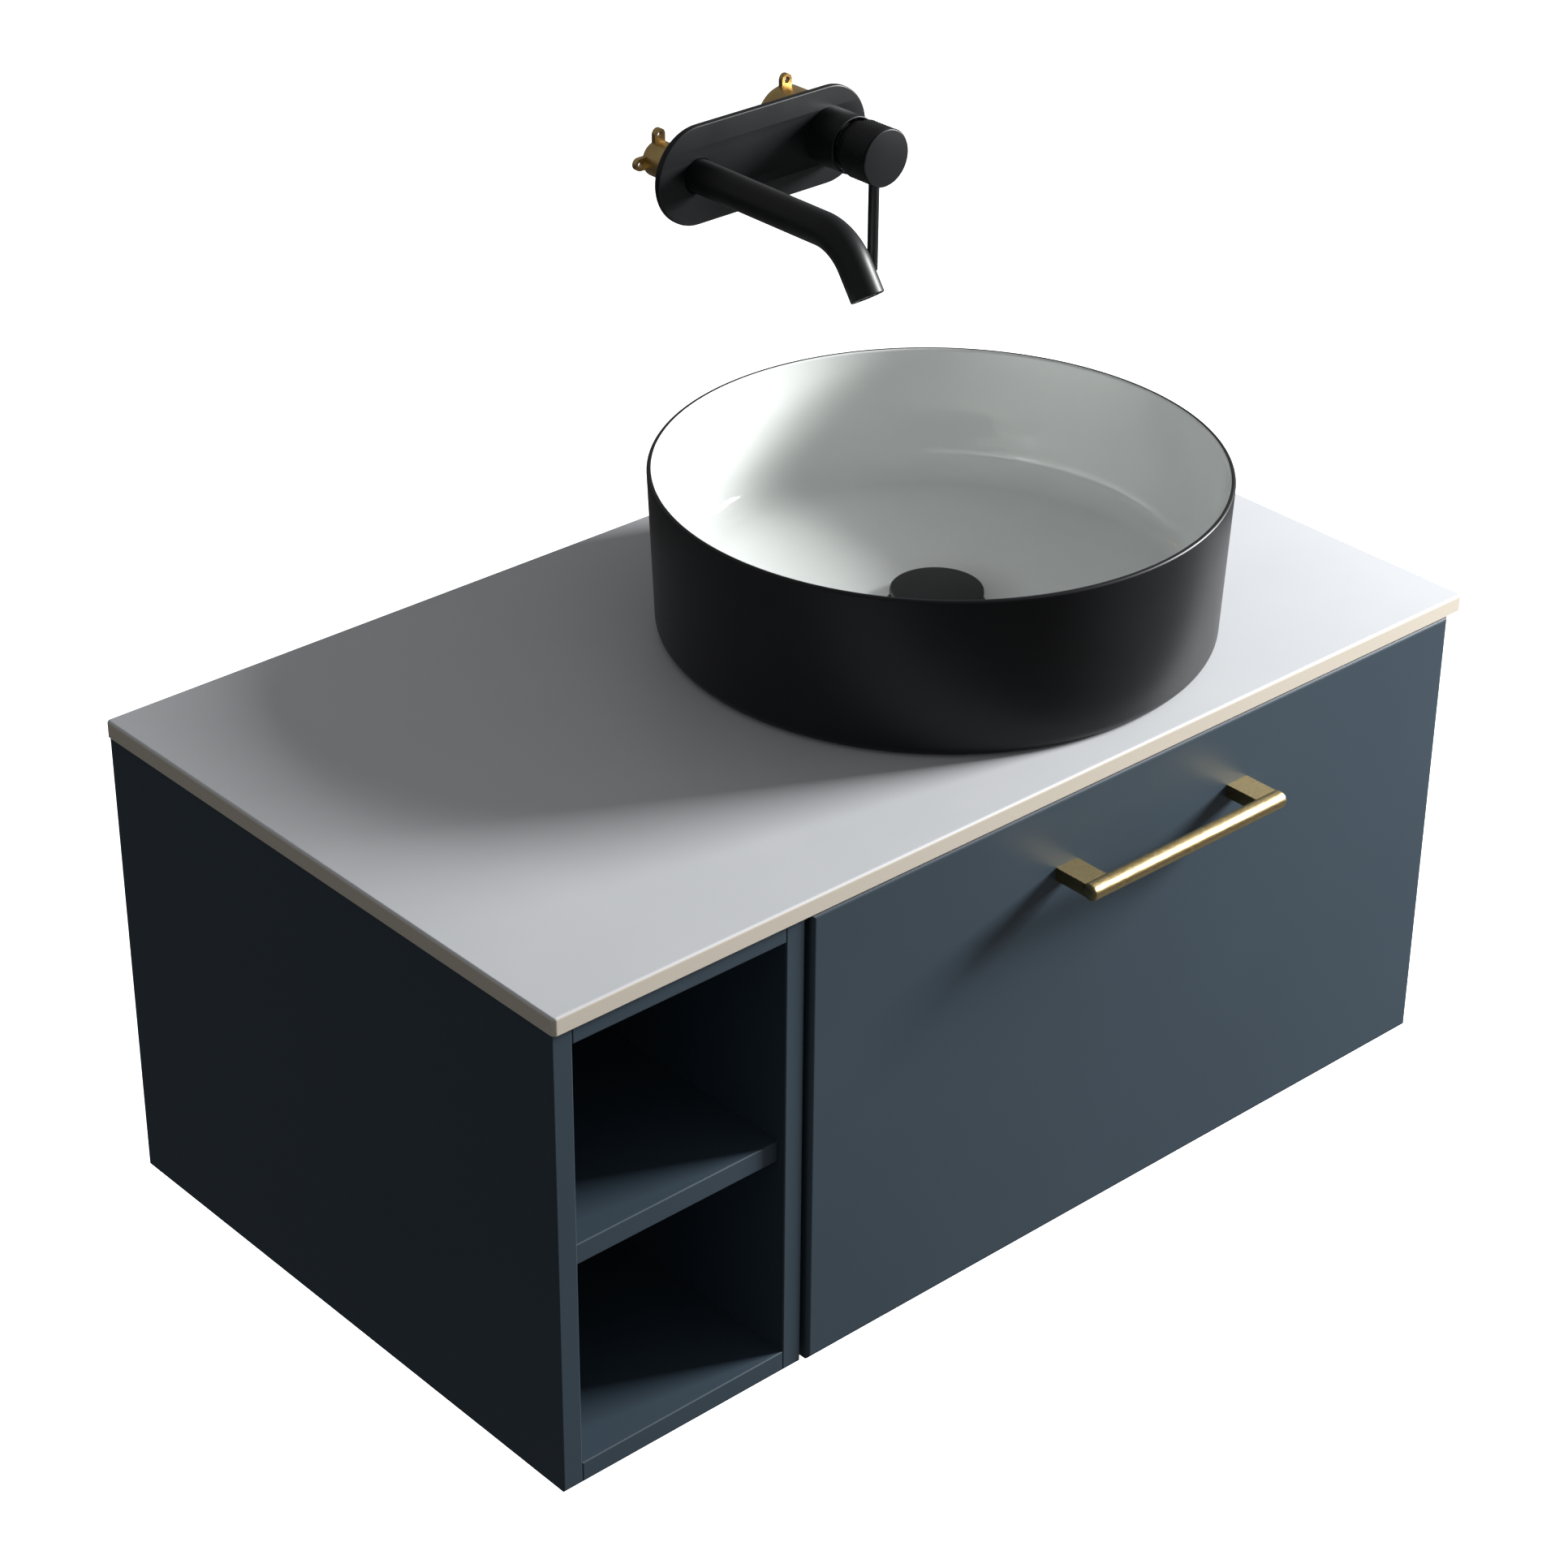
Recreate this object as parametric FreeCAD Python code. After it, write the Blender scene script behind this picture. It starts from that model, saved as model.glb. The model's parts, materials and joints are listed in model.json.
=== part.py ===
import FreeCAD, Part
import math
import os

from FreeCAD import Vector

# Wall-hung vanity with a round vessel basin and a wall-mounted mixer tap, in millimetres.
# Frame: +Z up, the front faces -Y, +X is to the right, the wall is the plane Y = 0.
# The origin is the middle of the four wall screws, on the cabinet's centre plane.

# ---- driving dimensions: cabinet and worktop
cabinet_width = 788.0
cabinet_height = 340.0
worktop_thickness = 12.0
worktop_overhang_left = 2.5
worktop_overhang_right = 9.5
worktop_overhang_front = 5.0
worktop_corner_radius = 3.0
worktop_edge_radius = 2.0
cabinet_top = 60.0            # underside of the worktop, above the wall screws
board = 15.0                  # thickness of the carcass boards
board_edge_radius = 1.0
back_board = 8.0              # thin board closing the open compartment
compartment_width = 164.5     # clear width of the open compartment
shelf_top_below_worktop = 163.5
shelf_setback = 6.0
wall_space = 15.0             # room behind the rails for the hanging steelwork
rail_height = 90.0
front_rail_depth = 70.0
dowel_radius = 4.0
dowel_in_side = 7.0
dowel_in_board = 20.0
dowel_inset = 35.0

# ---- driving dimensions: drawer
front_thickness = 18.0
front_proud = 3.0             # drawer front stands this far out of the board edges
front_edge_radius = 3.0
front_gap_top = 2.5
front_gap_divider = 3.5
front_gap_right = 1.0
front_to_board_gap = 2.0
drawer_board = 12.0
drawer_floor = 10.0
drawer_headroom = 75.0         # drawer box to the boards above it
drawer_under_gap = 15.0
drawer_back_gap = 10.0         # drawer box to the rail behind it
notch_clearance = 23.0        # free space each side of the trap inside the drawer's notch
runner_width = 12.7
runner_height = 45.0
runner_sheet = 1.5
runner_lip = 2.0
runner_step = 4.5             # each inner channel is this much smaller all round
screw_radius = 2.0
screw_head_radius = 3.6
screw_head_height = 1.0
screw_length = 10.0

# ---- driving dimensions: bar handle
handle_x = 103.0
handle_below_worktop = 57.3
handle_spacing = 160.0
post_width = 19.0
post_height = 9.5
post_depth = 27.0
bar_radius = 6.25
bar_standoff = 30.0
handle_screw_radius = 2.0
handle_screw_in_post = 12.0

# ---- driving dimensions: hanging steelwork
hook_sheet = 2.5
hook_width = 60.0
hook_inset = 94.0             # cabinet side to the middle of a hook
wall_hole_spacing = 25.0
wall_hole_radius = 3.25
hook_seat = 24.5              # height of the seat that carries the cabinet
hook_lip = 10.5
hook_side_clearance = 0.8

# ---- driving dimensions: basin and waste
basin_x = 103.5
basin_radius = 195.0
basin_front_margin = 15.0     # worktop left in front of the basin
basin_back_margin = 55.0      # worktop left behind the basin
basin_taper = 5.0             # the foot is this much smaller than the rim
basin_height = 115.0
basin_rim = 4.0
basin_wall_low = 6.5
basin_floor_edge = 24.0       # floor height above the worktop at the wall
basin_floor_drain = 13.0      # floor height above the worktop at the drain
basin_recess = 3.0            # hollow under the floor
basin_foot_ring = 20.0
basin_corner_radius = 22.0
basin_foot_round = 9.0
waste_flange = 3.0
waste_thread_radius = 20.9
waste_flange_overlap = 12.1   # flange beyond the thread
waste_tube_wall = 2.9
waste_length = 93.0
waste_hole_clearance = 1.6
seal_thickness = 3.0
top_seal_thickness = 1.5
locknut_thickness = 8.0
locknut_wall = 8.1
plug_travel = 8.0
plug_inset = 1.0              # the plug is this much smaller than the flange
plug_disc = 3.0
plug_boss_clearance = 2.0
plug_boss_length = 7.0
spindle_radius = 4.0
spindle_length = 34.0
running_gap = 0.06

# ---- driving dimensions: bottle trap
pipe_radius = 16.0
pipe_wall = 1.2
union_wall = 6.1
trap_wall = 2.5
trap_outlet_below_worktop = 162.0
trap_head_height = 52.0
trap_cup_height = 70.0
trap_thread = 12.0
trap_spigot = 22.0
trap_nut_length = 20.0
wall_flange_radius = 34.0
outlet_into_wall = 40.0
outlet_step = 0.2

# ---- driving dimensions: wall-mounted mixer tap
tap_above_worktop = 246.0
tap_spacing = 120.0           # spout axis to handle axis
plate_margin = 15.0           # cover plate beyond the sleeve
plate_thickness = 5.0
spout_radius = 12.0
spout_wall = 1.6
spout_straight = 131.0        # wall to the start of the bend
spout_bend_radius = 40.0
spout_bend_angle = 55.0
spout_tip = 22.0
sleeve_wall = 1.4
sleeve_gap = 0.5
sleeve_front = 32.0           # wall to the sleeve's front edge, which is the lever's pivot plane
collar_gap = 1.6              # lets the collar dip as the lever is raised
collar_length = 8.5
knob_overlap = 0.3            # the knob is this much larger than the sleeve
knob_wall = 7.3
knob_length = 24.5
knob_cavity_depth = 14.0
lever_radius = 3.9
lever_length = 66.0
stem_side = 7.0
turret_inset = 6.5            # the turning disc is this much smaller than the cartridge
turret_shoulder = 1.9
cartridge_radius = 17.4
housing_wall = 1.7
outlet_body_wall = 1.0
mixer_body_wall = 6.6
body_depth = 46.0
inlet_offset = 32.0
inlet_pipe_radius = 12.0
inlet_thread_radius = 10.48
inlet_thread = 15.0
inlet_drop = 38.0
ear_thickness = 4.0
ear_hole_radius = 2.3
ear_width = 9.0

# ---- sizes that follow from the driving dimensions
worktop_width = cabinet_width + worktop_overhang_left + worktop_overhang_right
worktop_depth = basin_front_margin + 2 * basin_radius + basin_back_margin
hook_spacing = cabinet_width - 2 * hook_inset
drawer_height = cabinet_height - 2 * board - drawer_under_gap - drawer_headroom
drawer_length = (worktop_depth - worktop_overhang_front + front_proud - front_thickness
                 - wall_space - board - drawer_back_gap)
runner_length = drawer_length
basin_foot_radius = basin_radius - basin_taper
waste_flange_radius = waste_thread_radius + waste_flange_overlap
waste_bore_radius = waste_thread_radius - waste_tube_wall
locknut_flats = 2 * (waste_thread_radius + locknut_wall)
plug_radius = waste_flange_radius - plug_inset
plug_boss_radius = waste_bore_radius - plug_boss_clearance
union_radius = waste_thread_radius + union_wall
trap_radius = 2 * pipe_radius
housing_radius = cartridge_radius + housing_wall
sleeve_radius = housing_radius + sleeve_gap + sleeve_wall
collar_radius = sleeve_radius - sleeve_wall - collar_gap
knob_radius = sleeve_radius + knob_overlap
knob_cavity_radius = knob_radius - knob_wall
plate_end_radius = sleeve_radius + plate_margin
turret_radius = cartridge_radius - turret_inset
turret_neck_radius = turret_radius - turret_shoulder
left_body_radius = spout_radius + outlet_body_wall
right_body_radius = cartridge_radius + mixer_body_wall

# ---- places that follow from the driving dimensions
X, Y, Z = Vector(1, 0, 0), Vector(0, 1, 0), Vector(0, 0, 1)
basin_y = -(basin_back_margin + basin_radius)
left = -cabinet_width / 2
right = cabinet_width / 2
bottom = cabinet_top - cabinet_height
worktop_top = cabinet_top + worktop_thickness
front = -(worktop_depth - worktop_overhang_front)
divider_left = left + board + compartment_width
divider_right = divider_left + board
bay_right = right - board
rail_front = -(wall_space + board)
drawer_face = front - front_proud
drawer_front_back = drawer_face + front_thickness
bay_front = drawer_front_back + front_to_board_gap
shelf_top = worktop_top - worktop_thickness - shelf_top_below_worktop

box_left = divider_right + runner_width
box_right = bay_right - runner_width
box_front = drawer_front_back
box_back = box_front + drawer_length
box_bottom = bottom + board + drawer_under_gap
box_top = box_bottom + drawer_height
notch_half = trap_radius + notch_clearance
notch_front = basin_y - notch_half
runner_middle = box_bottom + drawer_height / 2

waste_top = worktop_top + basin_floor_drain
waste_end = waste_top - waste_length
outlet_z = worktop_top - trap_outlet_below_worktop
trap_top = outlet_z + trap_head_height / 2
trap_bottom = outlet_z - trap_head_height / 2

tap_z = worktop_top + tap_above_worktop
handle_axis_x = basin_x + tap_spacing
pivot_y = -sleeve_front
handle_z = worktop_top - worktop_thickness - handle_below_worktop

# ---- shapes used again and again


def box(x, y, z):
    """A block between the two ends given along each axis."""
    low = Vector(min(x), min(y), min(z))
    return Part.makeBox(max(x) - low.x, max(y) - low.y, max(z) - low.z, low)


def rod(radius, start, axis, length):
    return Part.makeCylinder(radius, length, start, axis)


def ring(outer, inner, start, axis, length):
    return rod(outer, start, axis, length).cut(rod(inner, start, axis, length))


def turned(outline, base, axis=Z):
    """Revolve (radius, distance along the axis) points about the axis through base."""
    points = [Vector(radius, 0, distance) for radius, distance in outline]
    face = Part.Face(Part.makePolygon(points + points[:1]))
    solid = face.revolve(Vector(), Z, 360)
    solid.Placement = FreeCAD.Placement(base, FreeCAD.Rotation(Z, axis))
    return solid


def centre_of(edge):
    return edge.BoundBox.Center


def round_edges(shape, radius, chosen):
    """Fillet the edges that the test picks out."""
    edges = [edge for edge in shape.Edges if chosen(edge)]
    return shape.makeFillet(radius, edges)


def round_rings(shape, rings):
    """Fillet circular edges, each given as (circle radius, height, fillet radius)."""
    for circle, height, radius in rings:
        def chosen(edge):
            return (isinstance(edge.Curve, Part.Circle)
                    and abs(edge.Curve.Radius - circle) < 0.01
                    and abs(centre_of(edge).z - height) < 0.01)
        shape = round_edges(shape, radius, chosen)
    return shape


def carcass_board(x, y, z):
    """A board whose four front edges are slightly rounded."""
    def at_front(edge):
        return edge.BoundBox.YMax < min(y) + 0.01
    return round_edges(box(x, y, z), board_edge_radius, at_front)


def drill(shape, radius, start, axis, length):
    return shape.cut(rod(radius, start, axis, length))


def save(name, shape):
    if isinstance(shape, list):
        shape = Part.makeCompound(shape)
    shape.exportStep("parts/%s.step" % name)


# ---- carcass


def middle_of(pair):
    return (pair[0] + pair[1]) / 2


def dowels_for(x_faces, y, z, along):
    """Dowel pairs at both ends of a board; they stand dowel_in_side deep in the uprights."""
    pins = []
    ends = ((x_faces[0], 1), (x_faces[1], -1))
    for face, inward in ends:
        for offset in along:
            centre = Vector(face - inward * dowel_in_side, y, z) + offset
            length = dowel_in_side + dowel_in_board
            pins.append(rod(dowel_radius, centre, X * inward, length))
    return pins


def depth_pair(y):
    inset = min(dowel_inset, (y[1] - y[0]) / 4)
    return [Vector(0, y[0] + inset, 0), Vector(0, y[1] - inset, 0)]


def height_pair(z):
    quarter = (z[1] - z[0]) / 4
    return [Vector(0, 0, middle_of(z) - quarter), Vector(0, 0, middle_of(z) + quarter)]


left_gap = (left + board, divider_left)
bay_gap = (divider_right, bay_right)
top_layer = (cabinet_top - board, cabinet_top)
bottom_layer = (bottom, bottom + board)
shelf_layer = (shelf_top - board, shelf_top)
compartment_y = (front, rail_front)
back_y = (rail_front - back_board, rail_front)
rail_y = (rail_front, -wall_space)
rail_z = (cabinet_top - rail_height, cabinet_top)
front_rail_y = (bay_front, bay_front + front_rail_depth)
shelf_y = (front + shelf_setback, back_y[0])

lying_boards = {
    "compartment_top": (left_gap, compartment_y, top_layer),
    "compartment_bottom": (left_gap, compartment_y, bottom_layer),
    "shelf": (left_gap, shelf_y, shelf_layer),
    "front_top_rail": (bay_gap, front_rail_y, top_layer),
    "drawer_bay_bottom": (bay_gap, (bay_front, rail_front), bottom_layer),
}
standing_rails = {
    "hanging_rail_left": (left_gap, rail_y, rail_z),
    "hanging_rail_right": (bay_gap, rail_y, rail_z),
}
uprights = {
    "left_side_panel": ((left, left + board), (front, 0), (bottom, cabinet_top)),
    "divider_panel": ((divider_left, divider_right), (front, 0), (bottom, cabinet_top)),
    "right_side_panel": ((bay_right, right), (bay_front, 0), (bottom, cabinet_top)),
}


def carcass_dowels():
    pins = []
    for x, y, z in lying_boards.values():
        pins += dowels_for(x, 0, middle_of(z), depth_pair(y))
    for x, y, z in standing_rails.values():
        pins += dowels_for(x, middle_of(y), 0, height_pair(z))
    return pins


def carcass(dowels):
    """Every board, drilled for the dowels that end in it."""
    drill_bits = Part.makeCompound(dowels)
    for name, (x, y, z) in {**lying_boards, **standing_rails, **uprights}.items():
        yield name, carcass_board(x, y, z).cut(drill_bits)


def compartment_back():
    floor_to_ceiling = (bottom + board, cabinet_top - board)
    return box(left_gap, back_y, floor_to_ceiling)


# ---- hanging steelwork: a hook on the cabinet drops over a seat on the wall plate


def wall_plate(x):
    width = (x - hook_width / 2, x + hook_width / 2)
    seat_depth = wall_space / 2
    plate = box(width, (-hook_sheet, 0), (-hook_seat, hook_seat))
    seat = box(width, (-seat_depth, 0), (hook_seat - hook_sheet, hook_seat))
    lip = box(width, (-seat_depth, hook_sheet - seat_depth), (hook_seat, hook_seat + hook_lip))
    shape = plate.fuse([seat, lip]).removeSplitter()
    for side in (-1, 1):
        hole = Vector(x, -hook_sheet, side * wall_hole_spacing / 2)
        shape = drill(shape, wall_hole_radius, hole, Y, hook_sheet)
    return shape


def bracket_screw_places(x):
    reach = hook_width / 2 - 4 * screw_radius
    for side in (-1, 1):
        for height in (-hook_seat / 2, hook_seat / 2):
            yield Vector(x + side * reach, hook_sheet - wall_space, height)


def hook_bracket(x):
    """Flat leg on the rail, an arm towards the wall and a lip behind the wall plate's lip."""
    width = (x - hook_width / 2, x + hook_width / 2)
    arm_top = hook_seat + hook_lip + 2 * hook_sheet
    lip_front = hook_sheet - wall_space / 2 + hook_side_clearance
    leg = box(width, (-wall_space, hook_sheet - wall_space), (-hook_seat, arm_top))
    arm = box(width, (-wall_space, lip_front + hook_sheet), (arm_top - hook_sheet, arm_top))
    lip = box(width, (lip_front, lip_front + hook_sheet), (hook_seat, arm_top))
    shape = leg.fuse([arm, lip]).removeSplitter()
    for place in bracket_screw_places(x):
        shape = drill(shape, screw_radius, place, -Y, hook_sheet)
    return shape


def wood_screw(place, direction):
    """Round-headed screw; place is where the head meets the sheet it holds."""
    head = rod(screw_head_radius, place - direction * screw_head_height, direction,
               screw_head_height)
    return head.fuse(rod(screw_radius, place, direction, screw_length)).removeSplitter()


# ---- drawer runners: three channels one inside the other, on each side of the drawer


def channel(outside, towards, sheet_start, half_height, lip_end):
    """A C channel; distances are measured from the outside face towards the drawer."""
    def across(a, b):
        return (outside + towards * a, outside + towards * b)
    length = (box_front + front_to_board_gap, box_front + runner_length)
    web_end = sheet_start + runner_sheet
    low, high = runner_middle - half_height, runner_middle + half_height
    web = box(across(sheet_start, web_end), length, (low, high))
    lips = [box(across(sheet_start, lip_end), length, (low, low + runner_lip)),
            box(across(sheet_start, lip_end), length, (high - runner_lip, high))]
    return web.fuse(lips).removeSplitter()


runner_sides = ((divider_right, 1), (bay_right, -1))
outer_half = runner_height / 2
middle_half = outer_half - runner_step
inner_half = middle_half - runner_step
middle_web = 2 * runner_sheet + screw_head_height / 2
inner_web = runner_width - runner_sheet
runner_screw_y = [box_front + runner_length * share for share in (0.1, 0.5, 0.9)]


def cabinet_runner(outside, towards):
    shape = channel(outside, towards, 0, outer_half, runner_width - 3 * runner_sheet)
    for y in runner_screw_y:
        shape = drill(shape, screw_radius, Vector(outside, y, runner_middle), X * towards,
                      runner_sheet)
    return shape


def middle_runner(outside, towards):
    return channel(outside, towards, middle_web, middle_half, inner_web - runner_sheet)


def drawer_runner(outside, towards):
    """The drawer's channel opens towards the cabinet, so its lips point back."""
    lip_start = middle_web + 2 * runner_sheet
    drawer_side = outside + towards * runner_width
    shape = channel(drawer_side, -towards, 0, inner_half, runner_width - lip_start)
    for y in runner_screw_y:
        shape = drill(shape, screw_radius, Vector(drawer_side, y, runner_middle),
                      X * -towards, runner_sheet)
    return shape


def cabinet_side_screws():
    screws = []
    for x in (-hook_spacing / 2, hook_spacing / 2):
        screws += [wood_screw(place, -Y) for place in bracket_screw_places(x)]
    for outside, towards in runner_sides:
        for y in runner_screw_y:
            face = Vector(outside + towards * runner_sheet, y, runner_middle)
            screws.append(wood_screw(face, X * -towards))
    return screws


# ---- drawer


def drawer_front():
    x = (divider_right + front_gap_divider, right - front_gap_right)
    z = (bottom, cabinet_top - front_gap_top)
    shape = box(x, (drawer_face, drawer_front_back), z)

    def around_face(edge):
        return edge.BoundBox.YMax < drawer_face + 0.01
    return round_edges(shape, front_edge_radius, around_face)


drawer_inner = (box_left + drawer_board, box_right - drawer_board)
floor_z = (box_bottom, box_bottom + drawer_floor)
wall_z = (floor_z[1], box_top)
back_wall_y = (box_back - drawer_board, box_back)
notch_inner = (basin_x - notch_half, basin_x + notch_half)
notch_outer = (notch_inner[0] - drawer_board, notch_inner[1] + drawer_board)
notch_end_y = (notch_front - drawer_board, notch_front)


def drawer_bottom():
    shape = box(drawer_inner, (box_front, box_back), floor_z)
    return shape.cut(box(notch_inner, (notch_front, box_back), floor_z))


def drawer_boards():
    full = (box_front, box_back)
    beside_notch = (notch_end_y[0], box_back)
    return {
        "drawer_side_left": box((box_left, drawer_inner[0]), full, (box_bottom, box_top)),
        "drawer_side_right": box((drawer_inner[1], box_right), full, (box_bottom, box_top)),
        "drawer_box_front": box(drawer_inner, (box_front, box_front + drawer_board), wall_z),
        "drawer_back_left": box((drawer_inner[0], notch_outer[0]), back_wall_y, wall_z),
        "drawer_back_right": box((notch_outer[1], drawer_inner[1]), back_wall_y, wall_z),
        "notch_side_left": box((notch_outer[0], notch_inner[0]), beside_notch, wall_z),
        "notch_side_right": box((notch_inner[1], notch_outer[1]), beside_notch, wall_z),
        "notch_front": box(notch_inner, notch_end_y, wall_z),
        "drawer_bottom": drawer_bottom(),
    }


def front_fixing_places():
    y = box_front + drawer_board
    third = (drawer_inner[1] - drawer_inner[0]) / 3
    for x in (drawer_inner[0] + third / 2, drawer_inner[1] - third / 2):
        for z in (wall_z[0] + drawer_height / 4, wall_z[1] - drawer_height / 4):
            yield Vector(x, y, z)


def drawer_screws():
    """Screws through the drawer's channels, and longer ones that hold the front on."""
    screws = []
    for outside, towards in runner_sides:
        sheet_face = outside + towards * inner_web
        for y in runner_screw_y:
            place = Vector(sheet_face, y, runner_middle)
            screws.append(wood_screw(place, X * towards))
    for place in front_fixing_places():
        head = rod(screw_head_radius, place, Y, screw_head_height)
        shank = rod(screw_radius, place, -Y, drawer_board + screw_length)
        screws.append(head.fuse(shank).removeSplitter())
    return screws


# ---- bar handle

handle_posts_x = (handle_x - handle_spacing / 2, handle_x + handle_spacing / 2)
bar_y = drawer_face - bar_standoff
bar_length = handle_spacing + post_width


def handle_bar():
    start = Vector(handle_x - bar_length / 2, bar_y, handle_z)
    return rod(bar_radius, start, X, bar_length)


def handle_post(x):
    """Flat block whose outer end is hollowed to seat the bar."""
    z = (handle_z - post_height / 2, handle_z + post_height / 2)
    block = box((x - post_width / 2, x + post_width / 2), (drawer_face - post_depth, drawer_face), z)
    return block.cut(handle_bar())


def handle_screw(x):
    back = Vector(x, drawer_front_back, handle_z)
    head = rod(2 * handle_screw_radius, back, Y, screw_head_height)
    shank = rod(handle_screw_radius, back, -Y, front_thickness + handle_screw_in_post)
    return head.fuse(shank).removeSplitter()


# ---- worktop and basin


def at_basin(z):
    return Vector(basin_x, basin_y, z)


def worktop():
    slab_left = left - worktop_overhang_left
    shape = box((slab_left, slab_left + worktop_width), (-worktop_depth, 0),
                (cabinet_top, worktop_top))

    def upright(edge):
        return edge.BoundBox.ZLength > worktop_thickness - 0.01
    shape = round_edges(shape, worktop_corner_radius, upright)

    def around_top(edge):
        return edge.BoundBox.ZMin > worktop_top - 0.01
    shape = round_edges(shape, worktop_edge_radius, around_top)
    hole = waste_thread_radius + waste_hole_clearance
    return drill(shape, hole, at_basin(cabinet_top), Z, worktop_thickness)


def basin():
    """Thin-walled round bowl: outside, rim, inside, drain seat, hollowed foot."""
    inner_top = basin_radius - basin_rim
    inner_low = basin_foot_radius - basin_wall_low
    seat_radius = waste_flange_radius + 0.5
    seat = basin_floor_drain - waste_flange - top_seal_thickness
    hole = waste_thread_radius + waste_hole_clearance
    foot_inner = basin_foot_radius - basin_foot_ring
    outline = [
        (basin_foot_radius, 0), (basin_radius, basin_height), (inner_top, basin_height),
        (inner_low, basin_floor_edge), (seat_radius, basin_floor_drain), (seat_radius, seat),
        (hole, seat), (hole, basin_recess), (foot_inner, basin_recess), (foot_inner, 0),
    ]
    shape = turned(outline, at_basin(worktop_top))
    rim_round = basin_rim * 0.45
    return round_rings(shape, [
        (basin_foot_radius, worktop_top, basin_foot_round),
        (basin_radius, worktop_top + basin_height, rim_round),
        (inner_top, worktop_top + basin_height, rim_round),
        (inner_low, worktop_top + basin_floor_edge, basin_corner_radius),
    ])


# ---- waste and pop-up plug


def waste_body():
    """Flange, funnel and threaded tube, with a three-legged guide for the plug's spindle."""
    funnel = waste_bore_radius + 2 * waste_flange
    funnel_depth = 8.0
    shape = turned([
        (funnel, 0), (waste_flange_radius, 0), (waste_flange_radius, -waste_flange),
        (waste_thread_radius, -waste_flange), (waste_thread_radius, -waste_length),
        (waste_bore_radius, -waste_length), (waste_bore_radius, -funnel_depth),
    ], at_basin(waste_top))
    hub_height = 6.0
    hub_base = at_basin(waste_top - plug_travel - plug_boss_length - 2 * hub_height)
    legs = []
    for turn in (0, 120, 240):
        leg = Part.makeBox(waste_bore_radius + 0.5, 3, hub_height, Vector(0, -1.5, 0))
        leg.rotate(Vector(), Z, turn)
        leg.translate(hub_base)
        legs.append(leg)
    hub = rod(spindle_radius + 3, hub_base, Z, hub_height)
    shape = shape.fuse(legs + [hub]).removeSplitter()
    return drill(shape, spindle_radius + running_gap, hub_base, Z, hub_height)


def waste_top_seal():
    base = at_basin(waste_top - waste_flange - top_seal_thickness)
    return ring(waste_flange_radius, waste_thread_radius, base, Z, top_seal_thickness)


def waste_bottom_seal():
    base = at_basin(cabinet_top - seal_thickness)
    return ring(waste_flange_radius, waste_thread_radius, base, Z, seal_thickness)


def waste_locknut():
    base = at_basin(cabinet_top - seal_thickness - locknut_thickness)
    corner = locknut_flats / math.sqrt(3)
    corners = [Vector(corner * math.cos(math.radians(60 * i)),
                      corner * math.sin(math.radians(60 * i)), 0) + base for i in range(7)]
    nut = Part.Face(Part.makePolygon(corners)).extrude(Z * locknut_thickness)
    return drill(nut, waste_thread_radius, base, Z, locknut_thickness)


plug_underside = waste_top + plug_travel


def plug_cap():
    boss = plug_underside - plug_boss_length
    shape = rod(plug_radius, at_basin(plug_underside), Z, plug_disc)
    shape = round_rings(shape, [(plug_radius, plug_underside + plug_disc, plug_disc / 2)])
    return shape.fuse(rod(plug_boss_radius, at_basin(boss), Z, plug_boss_length)).removeSplitter()


def plug_spindle():
    end = plug_underside - plug_boss_length - spindle_length
    return rod(spindle_radius, at_basin(end), Z, spindle_length)


# ---- bottle trap


def trap_union_nut():
    """Screws on the waste's thread and grips the trap's inlet tube below it."""
    grip = 7.0
    return turned([
        (waste_thread_radius, 0), (waste_thread_radius, 2 * grip), (union_radius, 2 * grip),
        (union_radius, -grip), (pipe_radius, -grip), (pipe_radius, 0),
    ], at_basin(waste_end))


def trap_inlet_tube():
    end = trap_bottom - trap_cup_height / 2
    return ring(pipe_radius, pipe_radius - pipe_wall, at_basin(end), Z, waste_end - end)


def trap_body():
    """Head of the trap: a neck round the inlet tube, an open underside and a side outlet."""
    neck = 10.0
    outer = rod(trap_radius, at_basin(trap_bottom), Z, trap_head_height)
    outer = round_rings(outer, [(trap_radius, trap_top, 2 * trap_wall)])
    outer = outer.fuse(rod(pipe_radius + 2 * trap_wall, at_basin(trap_top), Z, neck))
    outlet = Vector(basin_x, basin_y, outlet_z)
    reach = trap_radius + trap_spigot
    outer = outer.fuse(rod(pipe_radius + trap_wall, outlet, Y, reach))
    hollow = rod(trap_radius - trap_wall, at_basin(trap_bottom), Z, trap_head_height - trap_wall)
    hollow = hollow.fuse([rod(pipe_radius, at_basin(trap_bottom), Z, trap_head_height + neck),
                          rod(pipe_radius, outlet, Y, reach)])
    return outer.cut(hollow).removeSplitter()


def trap_cup():
    """The unscrewing cup, whose threaded collar fits up inside the head."""
    thread_outer = trap_radius - trap_wall
    thread_inner = thread_outer - trap_wall
    outline = [
        (0, -trap_cup_height), (trap_radius, -trap_cup_height), (trap_radius, 0),
        (thread_outer, 0), (thread_outer, trap_thread), (thread_inner, trap_thread),
        (thread_inner, trap_wall - trap_cup_height), (0, trap_wall - trap_cup_height),
    ]
    shape = turned(outline, at_basin(trap_bottom))
    return round_rings(shape, [(trap_radius, trap_bottom - trap_cup_height, 2 * trap_wall)])


def on_outlet(y):
    return Vector(basin_x, y, outlet_z)


spigot_end = basin_y + trap_radius + trap_spigot


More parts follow.
